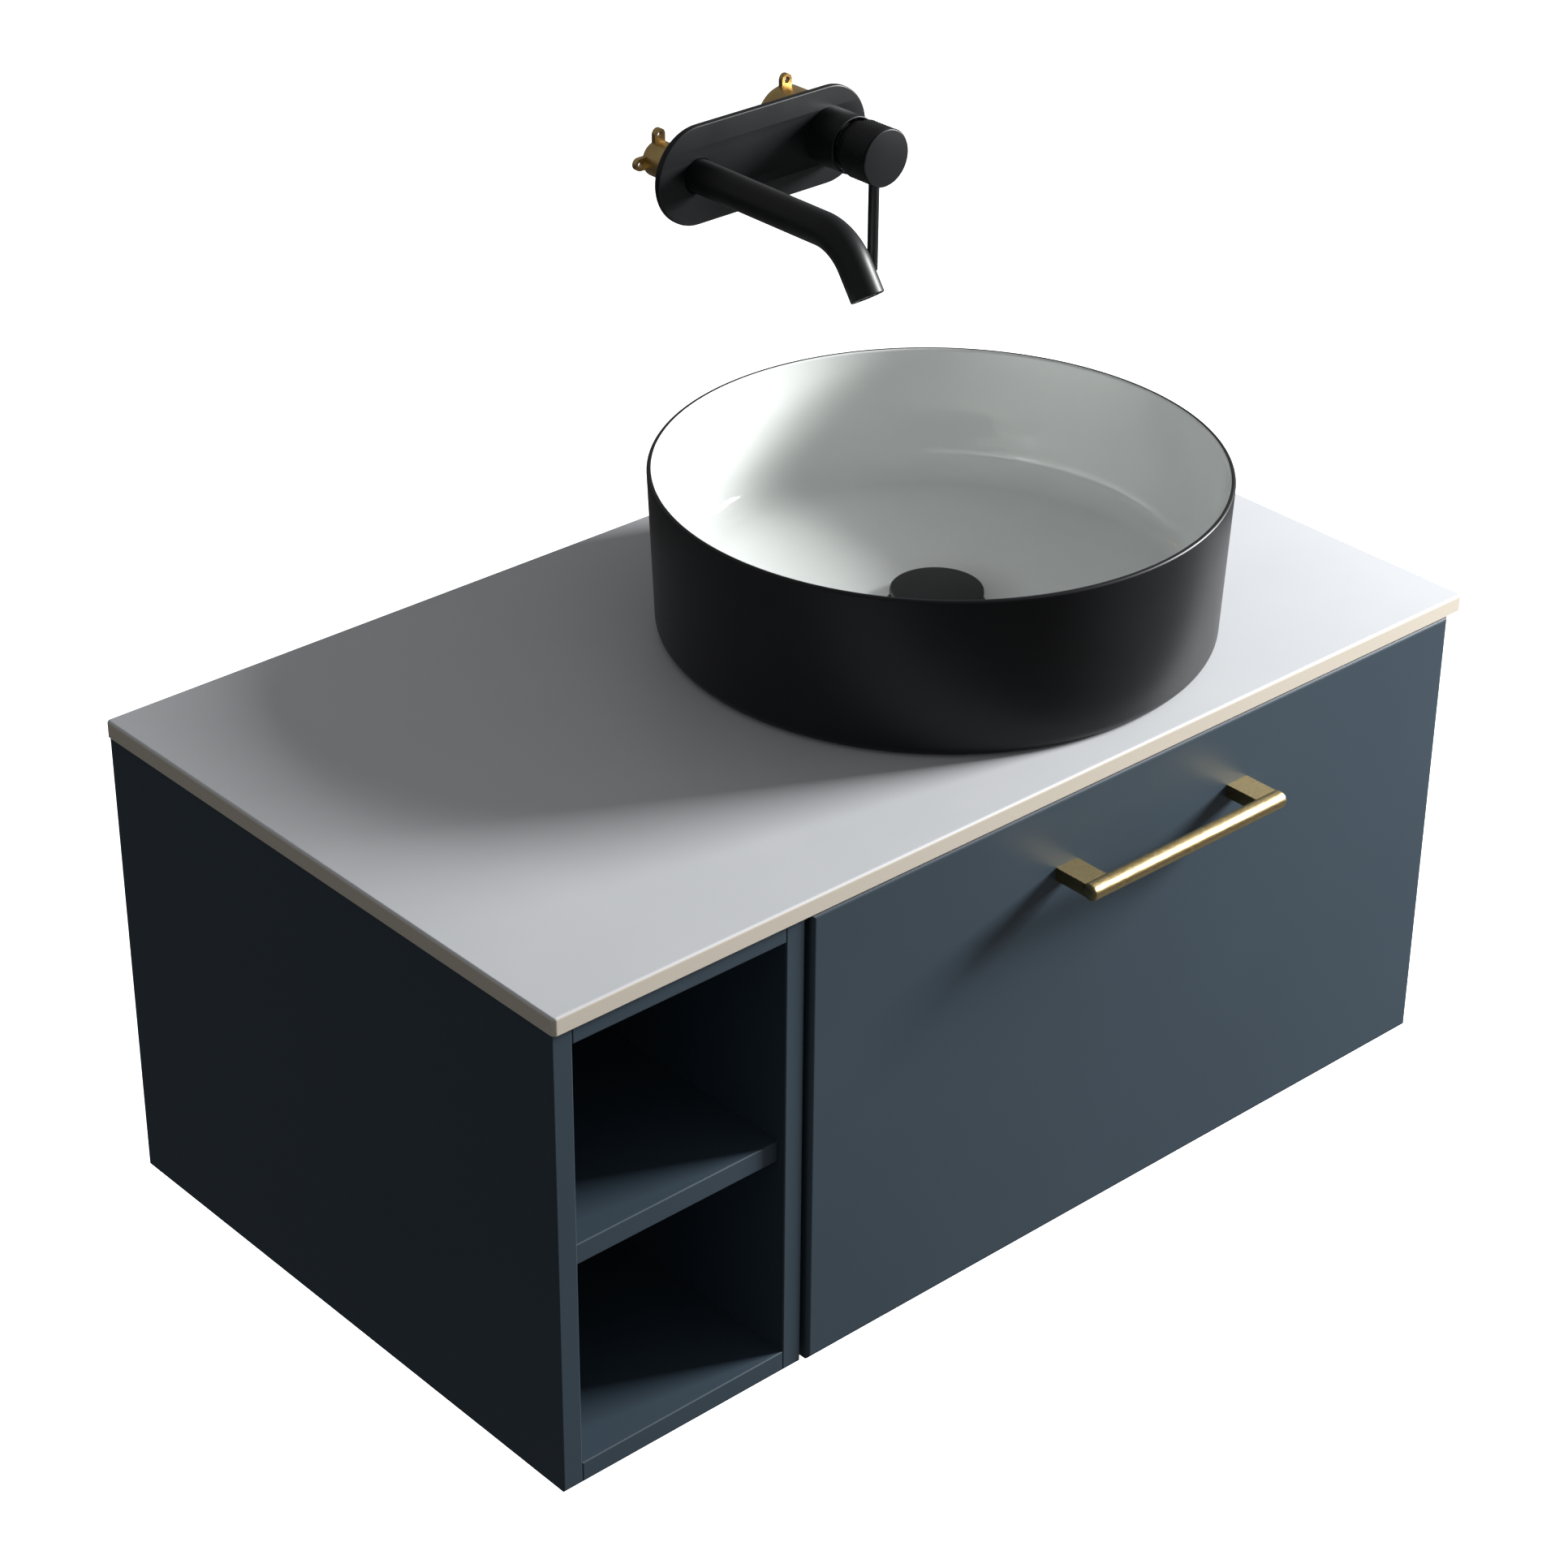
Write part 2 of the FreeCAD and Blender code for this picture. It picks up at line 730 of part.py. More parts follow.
def trap_outlet_nut():
    """Sits over the end of the spigot and closes down on to the outlet pipe."""
    spigot_radius = pipe_radius + trap_wall
    half = trap_nut_length / 2
    return turned([
        (spigot_radius, -half), (union_radius - 2, -half), (union_radius - 2, half),
        (pipe_radius, half), (pipe_radius, 0), (spigot_radius, 0),
    ], on_outlet(spigot_end), Y)


def trap_outlet_pipe():
    """The part inside the wall is slightly slimmer, so a socket slides on up to the flange."""
    pipe = rod(pipe_radius, on_outlet(spigot_end), Y, -spigot_end)
    pipe = pipe.fuse(rod(pipe_radius - outlet_step, on_outlet(0), Y, outlet_into_wall))
    bore = rod(pipe_radius - pipe_wall, on_outlet(spigot_end), Y, outlet_into_wall - spigot_end)
    return pipe.removeSplitter().cut(bore)


def trap_wall_flange():
    depth = 8.0
    return turned([
        (pipe_radius, 0), (pipe_radius, -depth), (pipe_radius + depth, -depth),
        (wall_flange_radius, 0),
    ], on_outlet(0), Y)


# ---- wall-mounted mixer tap


def on_spout(y, z=0.0):
    return Vector(basin_x, y, tap_z + z)


def on_handle(y, z=0.0):
    return Vector(handle_axis_x, y, tap_z + z)


housing_front = -(sleeve_front - 10.0)
cartridge_back = 8.0
spout_root = 2.0


def ear(centre, turn, reach, y):
    """Screw lug that points up, turned about the body's axis; reach is to its hole."""
    tip = Vector(0, y, reach)
    lug = box((-ear_width / 2, ear_width / 2), (y, y + ear_thickness), (0, reach))
    lug = lug.fuse(rod(ear_width / 2, tip, Y, ear_thickness))
    lug = drill(lug, ear_hole_radius, tip, Y, ear_thickness)
    lug.rotate(Vector(), Y, turn)
    lug.translate(Vector(centre.x, 0, centre.z))
    return lug


left_ear_reach = left_body_radius + 4.8
right_ear_reach = right_body_radius + 4.5
left_ear_y = 36.0
right_ear_y = 39.0


def tap_body():
    """Brass casting inside the wall: outlet body, cartridge housing, bridge and two inlets."""
    outlet = rod(left_body_radius, on_spout(spout_root), Y, body_depth - 6)
    outlet = round_edges(outlet, 3, lambda edge: centre_of(edge).y > body_depth - 5
                         and isinstance(edge.Curve, Part.Circle))
    mixer = rod(right_body_radius, on_handle(spout_root), Y, body_depth)
    mixer = round_edges(mixer, 6, lambda edge: centre_of(edge).y > body_depth
                        and isinstance(edge.Curve, Part.Circle))
    housing = rod(housing_radius, on_handle(housing_front), Y, spout_root - housing_front)
    middle = body_depth / 2
    bridge = rod(left_body_radius - 3, on_spout(middle), X, tap_spacing)
    manifold = rod(inlet_pipe_radius, on_handle(middle) - X * inlet_offset, X, 2 * inlet_offset)
    legs = []
    for side in (-1, 1):
        elbow = on_handle(middle) + X * side * inlet_offset
        legs += [Part.makeSphere(inlet_pipe_radius, elbow),
                 rod(inlet_pipe_radius, elbow, -Z, inlet_drop - inlet_thread),
                 rod(inlet_thread_radius, elbow, -Z, inlet_drop)]
    ears = [ear(on_spout(0), 0, left_ear_reach, left_ear_y),
            ear(on_spout(0), -90, left_ear_reach, left_ear_y),
            ear(on_handle(0), 0, right_ear_reach, right_ear_y),
            ear(on_handle(0), 90, right_ear_reach, right_ear_y)]
    shape = outlet.fuse([mixer, housing, bridge, manifold] + legs + ears).removeSplitter()
    bore = rod(cartridge_radius, on_handle(housing_front), Y, cartridge_back - housing_front)
    waterway = rod(left_body_radius - 4, on_spout(spout_root), Y, middle)
    inlet_bores = [rod(inlet_thread_radius - 3, on_handle(middle, -inlet_drop) + X * side * inlet_offset,
                       Z, inlet_drop) for side in (-1, 1)]
    return shape.cut([bore, waterway] + inlet_bores)


def tap_cover_plate():
    """Flat plate with round ends, a hole for the spout and one for the housing."""
    y = (-plate_thickness, 0)
    z = (tap_z - plate_end_radius, tap_z + plate_end_radius)
    plate = box((basin_x, handle_axis_x), y, z)
    plate = plate.fuse([rod(plate_end_radius, on_spout(y[0]), Y, plate_thickness),
                        rod(plate_end_radius, on_handle(y[0]), Y, plate_thickness)])
    plate = plate.removeSplitter()

    def around_face(edge):
        return edge.BoundBox.YMax < y[0] + 0.01
    plate = round_edges(plate, 1.0, around_face)
    plate = drill(plate, spout_radius, on_spout(y[0]), Y, plate_thickness)
    return drill(plate, housing_radius, on_handle(y[0]), Y, plate_thickness)


def spout_run(radius):
    """Straight arm, bend and tip, as one solid rod of the given radius."""
    arm = rod(radius, on_spout(-spout_straight), Y, spout_straight + spout_root)
    bend_centre = on_spout(-spout_straight, -spout_bend_radius)
    section = Part.Face(Part.Wire(Part.makeCircle(radius, on_spout(-spout_straight), Y)))
    bend = section.revolve(bend_centre, X, spout_bend_angle)
    turn = math.radians(spout_bend_angle)
    outward = Vector(0, -math.cos(turn), -math.sin(turn))
    bend_end = bend_centre + Vector(0, -math.sin(turn), math.cos(turn)) * spout_bend_radius
    tip = rod(radius, bend_end, outward, spout_tip)
    return arm.fuse([bend, tip]).removeSplitter(), bend_end + outward * spout_tip, outward


def tap_spout():
    outside, mouth, outward = spout_run(spout_radius)
    inside, mouth, outward = spout_run(spout_radius - spout_wall)
    return outside.cut(inside)


def tap_aerator():
    """Pierced disc set just inside the spout's mouth."""
    thickness = 5.0
    hole = 1.1
    outside, mouth, outward = spout_run(spout_radius)
    back = mouth - outward * (thickness + 1)
    disc = rod(spout_radius - spout_wall, Vector(), Z, thickness)
    places = [(0, 0)]
    for count, radius in ((6, 3.6), (12, 7.2)):
        step = 2 * math.pi / count
        places += [(radius * math.cos(i * step), radius * math.sin(i * step)) for i in range(count)]
    disc = disc.cut([rod(hole, Vector(x, y, 0), Z, thickness) for x, y in places])
    disc.Placement = FreeCAD.Placement(back, FreeCAD.Rotation(Z, outward))
    return disc


def tap_sleeve():
    length = sleeve_front - plate_thickness
    return ring(sleeve_radius, sleeve_radius - sleeve_wall, on_handle(pivot_y), Y, length)


nut_front = housing_front - 3.0
turret_seat = 1.5
turret_back = housing_front + 2.0 + turret_seat


def tap_cartridge():
    """Ceramic-disc cartridge, with a shallow seat for the part that turns."""
    front_face = housing_front + 2.0
    body = rod(cartridge_radius, on_handle(front_face), Y, cartridge_back - front_face)
    return drill(body, turret_radius + running_gap, on_handle(front_face), Y, turret_seat)


def cartridge_nut():
    """Ring that clamps the cartridge into the housing."""
    length = housing_front + 2.0 - nut_front
    inner = turret_radius + running_gap
    shape = ring(cartridge_radius, inner, on_handle(nut_front), Y, length)
    rim = housing_front - nut_front
    return shape.fuse(ring(housing_radius, inner, on_handle(nut_front), Y, rim)).removeSplitter()


def cartridge_turret():
    """The turning part: a disc in the nut and a forked neck that holds the stem's pin."""
    cheek_reach = 4.0
    slot_half = stem_side / 2 + 0.2
    disc = rod(turret_radius, on_handle(nut_front), Y, turret_back - nut_front)
    neck_front = pivot_y - cheek_reach
    neck = rod(turret_neck_radius, on_handle(neck_front), Y, nut_front - neck_front)
    shape = disc.fuse(neck).removeSplitter()
    slot = box((handle_axis_x - slot_half, handle_axis_x + slot_half),
               (neck_front, pivot_y + stem_side / 2 + 1.0),
               (tap_z - turret_radius, tap_z + turret_radius))
    shape = shape.cut(slot)
    pin_start = on_handle(pivot_y) - X * turret_radius
    return drill(shape, stem_pin_radius + running_gap, pin_start, X, 2 * turret_radius)


stem_pin_radius = 2.0
stem_end = pivot_y - knob_cavity_depth - 12.0


def cartridge_stem():
    """Square stem with a rounded root and a cross pin, pushed into the knob."""
    half = stem_side / 2
    shape = box((handle_axis_x - half, handle_axis_x + half), (stem_end, pivot_y),
                (tap_z - half, tap_z + half))
    root = rod(half, on_handle(pivot_y) - X * half, X, stem_side)
    pin_half = turret_neck_radius - 0.6
    pin = rod(stem_pin_radius, on_handle(pivot_y) - X * pin_half, X, 2 * pin_half)
    return shape.fuse([root, pin]).removeSplitter()


knob_face = pivot_y - collar_length - knob_length
lever_y = pivot_y - collar_length - knob_length / 2


def tap_knob():
    """Round knob with a slimmer collar that dips into the sleeve when the lever is raised."""
    shape = turned([
        (knob_cavity_radius, 0), (collar_radius, 0), (collar_radius, collar_length),
        (knob_radius, collar_length), (knob_radius, collar_length + knob_length),
        (0, collar_length + knob_length), (0, knob_cavity_depth),
        (knob_cavity_radius, knob_cavity_depth),
    ], on_handle(pivot_y), -Y)
    half = stem_side / 2
    socket = box((handle_axis_x - half, handle_axis_x + half),
                 (stem_end, pivot_y - knob_cavity_depth), (tap_z - half, tap_z + half))
    shape = shape.cut(socket)
    hole_depth = knob_radius - knob_cavity_radius
    hole_top = on_handle(lever_y, -knob_radius + hole_depth)
    return drill(shape, lever_radius, hole_top, -Z, 2 * hole_depth)


def tap_lever():
    top = on_handle(lever_y, -knob_cavity_radius)
    length = lever_length + knob_radius - knob_cavity_radius
    shape = rod(lever_radius, top, -Z, length)
    return round_rings(shape, [(lever_radius, top.z - length, 0.5 * lever_radius)])


# ---- write one file per piece


def pieces():
    dowels = carcass_dowels()
    yield from carcass(dowels)
    yield "assembly_dowels", dowels
    yield "compartment_back", compartment_back()
    hook_places = (-hook_spacing / 2, hook_spacing / 2)
    yield "wall_plates", [wall_plate(x) for x in hook_places]
    yield "hook_brackets", [hook_bracket(x) for x in hook_places]
    screws = cabinet_side_screws()
    yield "cabinet_screws", screws
    yield "cabinet_runners", [cabinet_runner(*side) for side in runner_sides]
    yield "middle_runners", [middle_runner(*side) for side in runner_sides]
    yield "drawer_runners", [drawer_runner(*side) for side in runner_sides]
    yield "handle_post_left", handle_post(handle_posts_x[0])
    yield "handle_post_right", handle_post(handle_posts_x[1])
    yield "handle_screws", [handle_screw(x) for x in handle_posts_x]
    yield "drawer_front", drawer_front()
    yield from drawer_boards().items()
    yield "drawer_screws", drawer_screws()
    for make in (handle_bar, worktop, basin, waste_body, waste_top_seal, waste_bottom_seal,
                 waste_locknut, plug_cap, plug_spindle, trap_union_nut, trap_inlet_tube,
                 trap_body, trap_cup, trap_outlet_nut, trap_outlet_pipe, trap_wall_flange,
                 tap_body, tap_cover_plate, tap_spout, tap_aerator, tap_sleeve,
                 tap_cartridge, cartridge_nut, cartridge_turret, cartridge_stem, tap_knob,
                 tap_lever):
        yield make.__name__, make()


def screw_holes(made):
    """Cut every screw's hole in the wood, steel or brass that it runs through."""
    pairs = {
        "cabinet_screws": ("hanging_rail_left", "hanging_rail_right", "divider_panel",
                           "right_side_panel"),
        "drawer_screws": ("drawer_side_left", "drawer_side_right", "drawer_box_front",
                          "drawer_front"),
        "handle_screws": ("drawer_front", "handle_post_left", "handle_post_right"),
    }
    for screws, boards in pairs.items():
        bits = Part.makeCompound(made[screws])
        for name in boards:
            made[name] = made[name].cut(bits)


os.makedirs("parts", exist_ok=True)
made = dict(pieces())
screw_holes(made)
for name, shape in made.items():
    save(name, shape)
print(len(made), "pieces")
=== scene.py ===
# %% [markdown]
# # A round basin on a wall-hung vanity
# This lesson dresses a finished CAD model in believable surfaces: lacquered boards, a honed
# stone top, glazed ceramic, matte black metal and satin brass. Flat boards keep the CAD mesh,
# because a flat board has nothing to gain from new geometry. Most of the turned, bent and
# knurled pieces are built again here with smooth, dense meshes, in the same place and size.

# %% Open the frame
import json
import math

import bmesh
import bpy
from mathutils import Matrix, Vector

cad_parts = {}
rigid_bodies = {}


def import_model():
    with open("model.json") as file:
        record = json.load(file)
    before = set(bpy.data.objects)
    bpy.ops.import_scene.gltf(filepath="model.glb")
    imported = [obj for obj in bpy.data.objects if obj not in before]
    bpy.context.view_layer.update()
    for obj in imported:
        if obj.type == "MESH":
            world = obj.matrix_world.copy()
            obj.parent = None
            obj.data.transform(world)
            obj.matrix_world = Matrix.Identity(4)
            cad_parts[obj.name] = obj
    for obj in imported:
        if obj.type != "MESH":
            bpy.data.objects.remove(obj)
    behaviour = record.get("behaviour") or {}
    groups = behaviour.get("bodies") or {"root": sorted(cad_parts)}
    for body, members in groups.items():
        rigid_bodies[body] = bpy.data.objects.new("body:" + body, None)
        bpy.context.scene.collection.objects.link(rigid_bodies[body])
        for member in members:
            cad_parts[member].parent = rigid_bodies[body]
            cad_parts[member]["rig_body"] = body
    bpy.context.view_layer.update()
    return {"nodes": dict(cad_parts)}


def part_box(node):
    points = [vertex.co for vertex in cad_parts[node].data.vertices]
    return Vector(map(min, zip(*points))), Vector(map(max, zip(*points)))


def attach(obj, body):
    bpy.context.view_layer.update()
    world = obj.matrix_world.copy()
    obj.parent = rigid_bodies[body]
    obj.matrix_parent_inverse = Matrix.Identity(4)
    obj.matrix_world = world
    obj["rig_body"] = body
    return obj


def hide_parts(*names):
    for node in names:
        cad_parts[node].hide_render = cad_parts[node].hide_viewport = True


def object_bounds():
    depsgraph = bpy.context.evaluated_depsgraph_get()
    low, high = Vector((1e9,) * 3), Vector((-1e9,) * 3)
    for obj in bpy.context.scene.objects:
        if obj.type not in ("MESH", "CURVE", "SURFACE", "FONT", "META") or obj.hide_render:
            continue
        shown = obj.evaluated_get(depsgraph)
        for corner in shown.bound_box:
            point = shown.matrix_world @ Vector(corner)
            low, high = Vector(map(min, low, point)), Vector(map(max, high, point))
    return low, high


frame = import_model()

MM = 0.001
X, Y, Z = Vector((1, 0, 0)), Vector((0, 1, 0)), Vector((0, 0, 1))
print("nodes:", len(frame["nodes"]))

# %% [markdown]
# ## Reading places from the CAD
# No size is guessed twice. Each rebuilt piece asks the CAD node for its box and works out its
# centre, radius and length from it, so the new mesh lands exactly on the old one.


# %% Helpers that read the CAD
def centre(name):
    low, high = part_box(name)
    return (low + high) / 2


def size(name):
    low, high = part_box(name)
    return high - low


def top(name):
    """Middle of a node's highest face."""
    return Vector((centre(name).x, centre(name).y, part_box(name)[1].z))


def wall_end(name):
    """Middle of a node's face that is nearest the wall."""
    return Vector((centre(name).x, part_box(name)[1].y, centre(name).z))


worktop_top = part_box("worktop")[1].z
print("basin across: %.0f mm" % (size("basin").x / MM))
print("bar handle: %.0f mm long, %.1f mm thick"
      % (size("handle_bar").x / MM, size("handle_bar").z / MM))

# %% [markdown]
# ## One way to add nodes
# Every finish below is a small node tree. `add` puts one node in a tree, sets its options and
# fills or links its inputs, so a finish reads from top to bottom like a recipe. Colours are
# written as the hex values a painter would quote and turned into the linear values that the
# renderer needs.


# %% Node helpers
def colour(hex_code):
    channels = [int(hex_code[i:i + 2], 16) / 255 for i in (0, 2, 4)]
    linear = [c / 12.92 if c <= 0.04045 else ((c + 0.055) / 1.055) ** 2.4 for c in channels]
    return (*linear, 1.0)


def add(tree, kind, inputs=None, out=0, **settings):
    """Add one node and return one of its outputs; an input may be a value or an output."""
    made = tree.nodes.new(kind)
    for name, value in settings.items():
        setattr(made, name, value)
    for name, value in (inputs or {}).items():
        if isinstance(value, bpy.types.NodeSocket):
            tree.links.new(value, made.inputs[name])
        else:
            made.inputs[name].default_value = value
    return made.outputs[out] if len(made.outputs) else made


def material(name, finish):
    """Make a material; finish(tree, here) returns the inputs of its surface shader."""
    made = bpy.data.materials.new(name)
    made.use_nodes = True
    tree = made.node_tree
    tree.nodes.clear()
    here = add(tree, "ShaderNodeTexCoord", out="Object")
    surface = add(tree, "ShaderNodeBsdfPrincipled", finish(tree, here))
    add(tree, "ShaderNodeOutputMaterial", {"Surface": surface})
    print("finish: %-26s %2d nodes" % (name, len(tree.nodes)))
    return made


# %% [markdown]
# ## Painted and bare boards
# The cabinet is sprayed with a matte lacquer in a slate blue. Sprayed paint is never quite
# even: it carries a faint orange-peel relief a millimetre or two across and a slow drift of
# sheen. The drawer box inside is grey laminate with a printed linear grain, and the dowels
# are plain beech.


# %% Board finishes
def lacquer(tree, here):
    # matte paint: soft wide highlight, no texture until you are close
    peel = add(tree, "ShaderNodeTexNoise", {"Vector": here, "Scale": 1 / (1.6 * MM)})
    drift = add(tree, "ShaderNodeTexNoise", {"Vector": here, "Scale": 1 / (180 * MM)})
    tint = add(tree, "ShaderNodeMix", {0: drift, 6: colour("33404B"), 7: colour("374651")},
               out=2, data_type="RGBA")
    sheen = add(tree, "ShaderNodeMapRange", {"Value": drift, "To Min": 0.45, "To Max": 0.53})
    relief = add(tree, "ShaderNodeBump", {"Height": peel, "Distance": 0.01 * MM})
    return {"Base Color": tint, "Roughness": sheen, "Specular IOR Level": 0.4,
            "Normal": relief}


def laminate(tree, here):
    # printed grain runs front to back, so the box sides look like stretched fibres
    along = add(tree, "ShaderNodeMapping", {"Vector": here, "Scale": (14, 1, 14)})
    grain = add(tree, "ShaderNodeTexNoise",
                {"Vector": along, "Scale": 1 / (70 * MM), "Detail": 5.0, "Roughness": 0.6})
    tint = add(tree, "ShaderNodeMix", {0: grain, 6: colour("8E8B85"), 7: colour("A9A59D")},
               out=2, data_type="RGBA")
    relief = add(tree, "ShaderNodeBump", {"Height": grain, "Distance": 0.02 * MM})
    return {"Base Color": tint, "Roughness": 0.52, "Normal": relief}


def beech(tree, here):
    # warm pale wood with short flecks along the dowel
    along = add(tree, "ShaderNodeMapping", {"Vector": here, "Scale": (1, 10, 10)})
    grain = add(tree, "ShaderNodeTexNoise",
                {"Vector": along, "Scale": 1 / (20 * MM), "Detail": 4.0})
    tint = add(tree, "ShaderNodeMix", {0: grain, 6: colour("B98B5C"), 7: colour("D8B384")},
               out=2, data_type="RGBA")
    relief = add(tree, "ShaderNodeBump", {"Height": grain, "Distance": 0.04 * MM})
    return {"Base Color": tint, "Roughness": 0.6, "Normal": relief}


slate_lacquer = material("Slate blue matte lacquer", lacquer)
grey_laminate = material("Grey linear laminate", laminate)
beech_wood = material("Beech dowel", beech)

# %% [markdown]
# ## The stone top
# Two layers show on the slab of sintered stone: a cool pale face on top, and the warm beige
# body wherever the face has been ground away round the edge. One material makes both, by
# asking how high the point lies.


# %% Stone finish
def stone(tree, here):
    # honed stone: clouded, slightly silky, with a fine grit that breaks the highlight
    cloud = add(tree, "ShaderNodeTexNoise",
                {"Vector": here, "Scale": 1 / (90 * MM), "Detail": 4.0})
    grit = add(tree, "ShaderNodeTexNoise", {"Vector": here, "Scale": 1 / (1.0 * MM)})
    face = add(tree, "ShaderNodeMix", {0: cloud, 6: colour("C0C3C6"), 7: colour("C9CBCE")},
               out=2, data_type="RGBA")
    body = add(tree, "ShaderNodeMix", {0: grit, 6: colour("C6BDAE"), 7: colour("D2CABC")},
               out=2, data_type="RGBA")
    height = add(tree, "ShaderNodeSeparateXYZ", {"Vector": here}, out="Z")
    layer = add(tree, "ShaderNodeMapRange", {
        "Value": height,
        "From Min": worktop_top - 1.2 * MM, "From Max": worktop_top - 0.7 * MM})
    tint = add(tree, "ShaderNodeMix", {0: layer, 6: body, 7: face}, out=2, data_type="RGBA")
    sheen = add(tree, "ShaderNodeMapRange", {"Value": cloud, "To Min": 0.46, "To Max": 0.54})
    relief = add(tree, "ShaderNodeBump", {"Height": grit, "Distance": 0.008 * MM})
    return {"Base Color": tint, "Roughness": sheen, "Normal": relief}


worktop_stone = material("Honed sintered stone", stone)

# %% [markdown]
# ## Glaze inside and out
# The bowl is fired twice: a wet, glassy white inside and a silky black outside. Glaze is
# glass, so the white gets a very low roughness, while the black keeps a broad soft
# highlight. A slow ripple stops the reflections from looking machined. The foot ring that
# stands on the stone is left bare, because glaze would stick to the kiln shelf.


# %% Glaze finishes
def white_glaze(tree, here):
    # wet glass over white clay: crisp highlights that wobble a little
    ripple = add(tree, "ShaderNodeTexNoise", {"Vector": here, "Scale": 1 / (45 * MM)})
    tint = add(tree, "ShaderNodeMix", {0: ripple, 6: colour("D9DDDB"), 7: colour("E0E3E1")},
               out=2, data_type="RGBA")
    relief = add(tree, "ShaderNodeBump",
                 {"Height": ripple, "Distance": 0.3 * MM, "Strength": 0.5})
    return {"Base Color": tint, "Roughness": 0.05, "Coat Weight": 0.4, "Normal": relief}


def black_glaze(tree, here):
    # silky black: one wide soft streak where the lamp is reflected
    ripple = add(tree, "ShaderNodeTexNoise", {"Vector": here, "Scale": 1 / (30 * MM)})
    tint = add(tree, "ShaderNodeMix", {0: ripple, 6: colour("151618"), 7: colour("1B1C1F")},
               out=2, data_type="RGBA")
    sheen = add(tree, "ShaderNodeMapRange", {"Value": ripple, "To Min": 0.36, "To Max": 0.42})
    relief = add(tree, "ShaderNodeBump", {"Height": ripple, "Distance": 0.05 * MM})
    return {"Base Color": tint, "Roughness": sheen, "Specular IOR Level": 0.25,
            "Normal": relief}


def fireclay(tree, here):
    # bare fired clay: chalky, speckled and quite rough
    speck = add(tree, "ShaderNodeTexNoise",
                {"Vector": here, "Scale": 1 / (1.5 * MM), "Detail": 4.0})
    tint = add(tree, "ShaderNodeMix", {0: speck, 6: colour("CFC6B6"), 7: colour("E6DFD2")},
               out=2, data_type="RGBA")
    relief = add(tree, "ShaderNodeBump", {"Height": speck, "Distance": 0.08 * MM})
    return {"Base Color": tint, "Roughness": 0.85, "Normal": relief}


glossy_white = material("Glossy white glaze", white_glaze)
satin_black = material("Satin black glaze", black_glaze)
bare_clay = material("Unglazed fireclay", fireclay)

# %% [markdown]
# ## Metals
# The tap wears a baked-on matte black coat with a very fine tooth. The handle is satin brass,
# brushed round the bar. The tap's body is a sand casting, rough, its colour drifting in soft
# patches. The steelwork is zinc plated, with the blotchy sheen of its crystals.


# %% Metal finishes
def black_coat(tree, here):
    # powder-like black: highlights stay low and spread wide
    tooth = add(tree, "ShaderNodeTexNoise", {"Vector": here, "Scale": 1 / (0.6 * MM)})
    wear = add(tree, "ShaderNodeTexNoise", {"Vector": here, "Scale": 1 / (35 * MM)})
    tint = add(tree, "ShaderNodeMix", {0: wear, 6: colour("0D0E10"), 7: colour("121416")},
               out=2, data_type="RGBA")
    sheen = add(tree, "ShaderNodeMapRange", {"Value": wear, "To Min": 0.38, "To Max": 0.46})
    relief = add(tree, "ShaderNodeBump", {"Height": tooth, "Distance": 0.006 * MM})
    return {"Base Color": tint, "Roughness": sheen, "Specular IOR Level": 0.3,
            "Normal": relief}


def satin_brass(tree, here):
    # brushing spreads the highlight along the grain and keeps the colour pale gold
    along = add(tree, "ShaderNodeMapping", {"Vector": here, "Scale": (1, 30, 30)})
    brush = add(tree, "ShaderNodeTexNoise",
                {"Vector": along, "Scale": 1 / (5 * MM), "Detail": 3.0})
    tone = add(tree, "ShaderNodeTexNoise", {"Vector": here, "Scale": 1 / (25 * MM)})
    tint = add(tree, "ShaderNodeMix", {0: tone, 6: colour("C0A974"), 7: colour("CDB888")},
               out=2, data_type="RGBA")
    sheen = add(tree, "ShaderNodeMapRange", {"Value": brush, "To Min": 0.25, "To Max": 0.29})
    relief = add(tree, "ShaderNodeBump", {"Height": brush, "Distance": 0.001 * MM})
    return {"Base Color": tint, "Metallic": 1.0, "Roughness": sheen, "Normal": relief}


def cast_brass(tree, here):
    # sand grains leave a pebbled skin, and the colour drifts in patches about 14 mm across
    sand = add(tree, "ShaderNodeTexNoise",
               {"Vector": here, "Scale": 1 / (1.4 * MM), "Detail": 4.0})
    stain = add(tree, "ShaderNodeTexNoise", {"Vector": here, "Scale": 1 / (14 * MM)})
    tint = add(tree, "ShaderNodeMix", {0: stain, 6: colour("A98C56"), 7: colour("D3B880")},
               out=2, data_type="RGBA")
    sheen = add(tree, "ShaderNodeMapRange", {"Value": sand, "To Min": 0.28, "To Max": 0.46})
    relief = add(tree, "ShaderNodeBump", {"Height": sand, "Distance": 0.08 * MM})
    return {"Base Color": tint, "Metallic": 1.0, "Roughness": sheen, "Normal": relief}


def zinc(tree, here):
    # crystals a few millimetres across each catch the light a little differently
    crystal = add(tree, "ShaderNodeTexVoronoi", {"Vector": here, "Scale": 1 / (4 * MM)})
    tint = add(tree, "ShaderNodeMix", {0: crystal, 6: colour("AEB4B8"), 7: colour("C6CACD")},
               out=2, data_type="RGBA")
    sheen = add(tree, "ShaderNodeMapRange", {"Value": crystal, "To Min": 0.28, "To Max": 0.42})
    relief = add(tree, "ShaderNodeBump", {"Height": crystal, "Distance": 0.01 * MM})
    return {"Base Color": tint, "Metallic": 1.0, "Roughness": sheen, "Normal": relief}


matte_black = material("Matte black baked coat", black_coat)
handle_brass = material("Satin brushed brass", satin_brass)
rough_brass = material("Sand-cast brass", cast_brass)
zinc_steel = material("Zinc-plated steel", zinc)

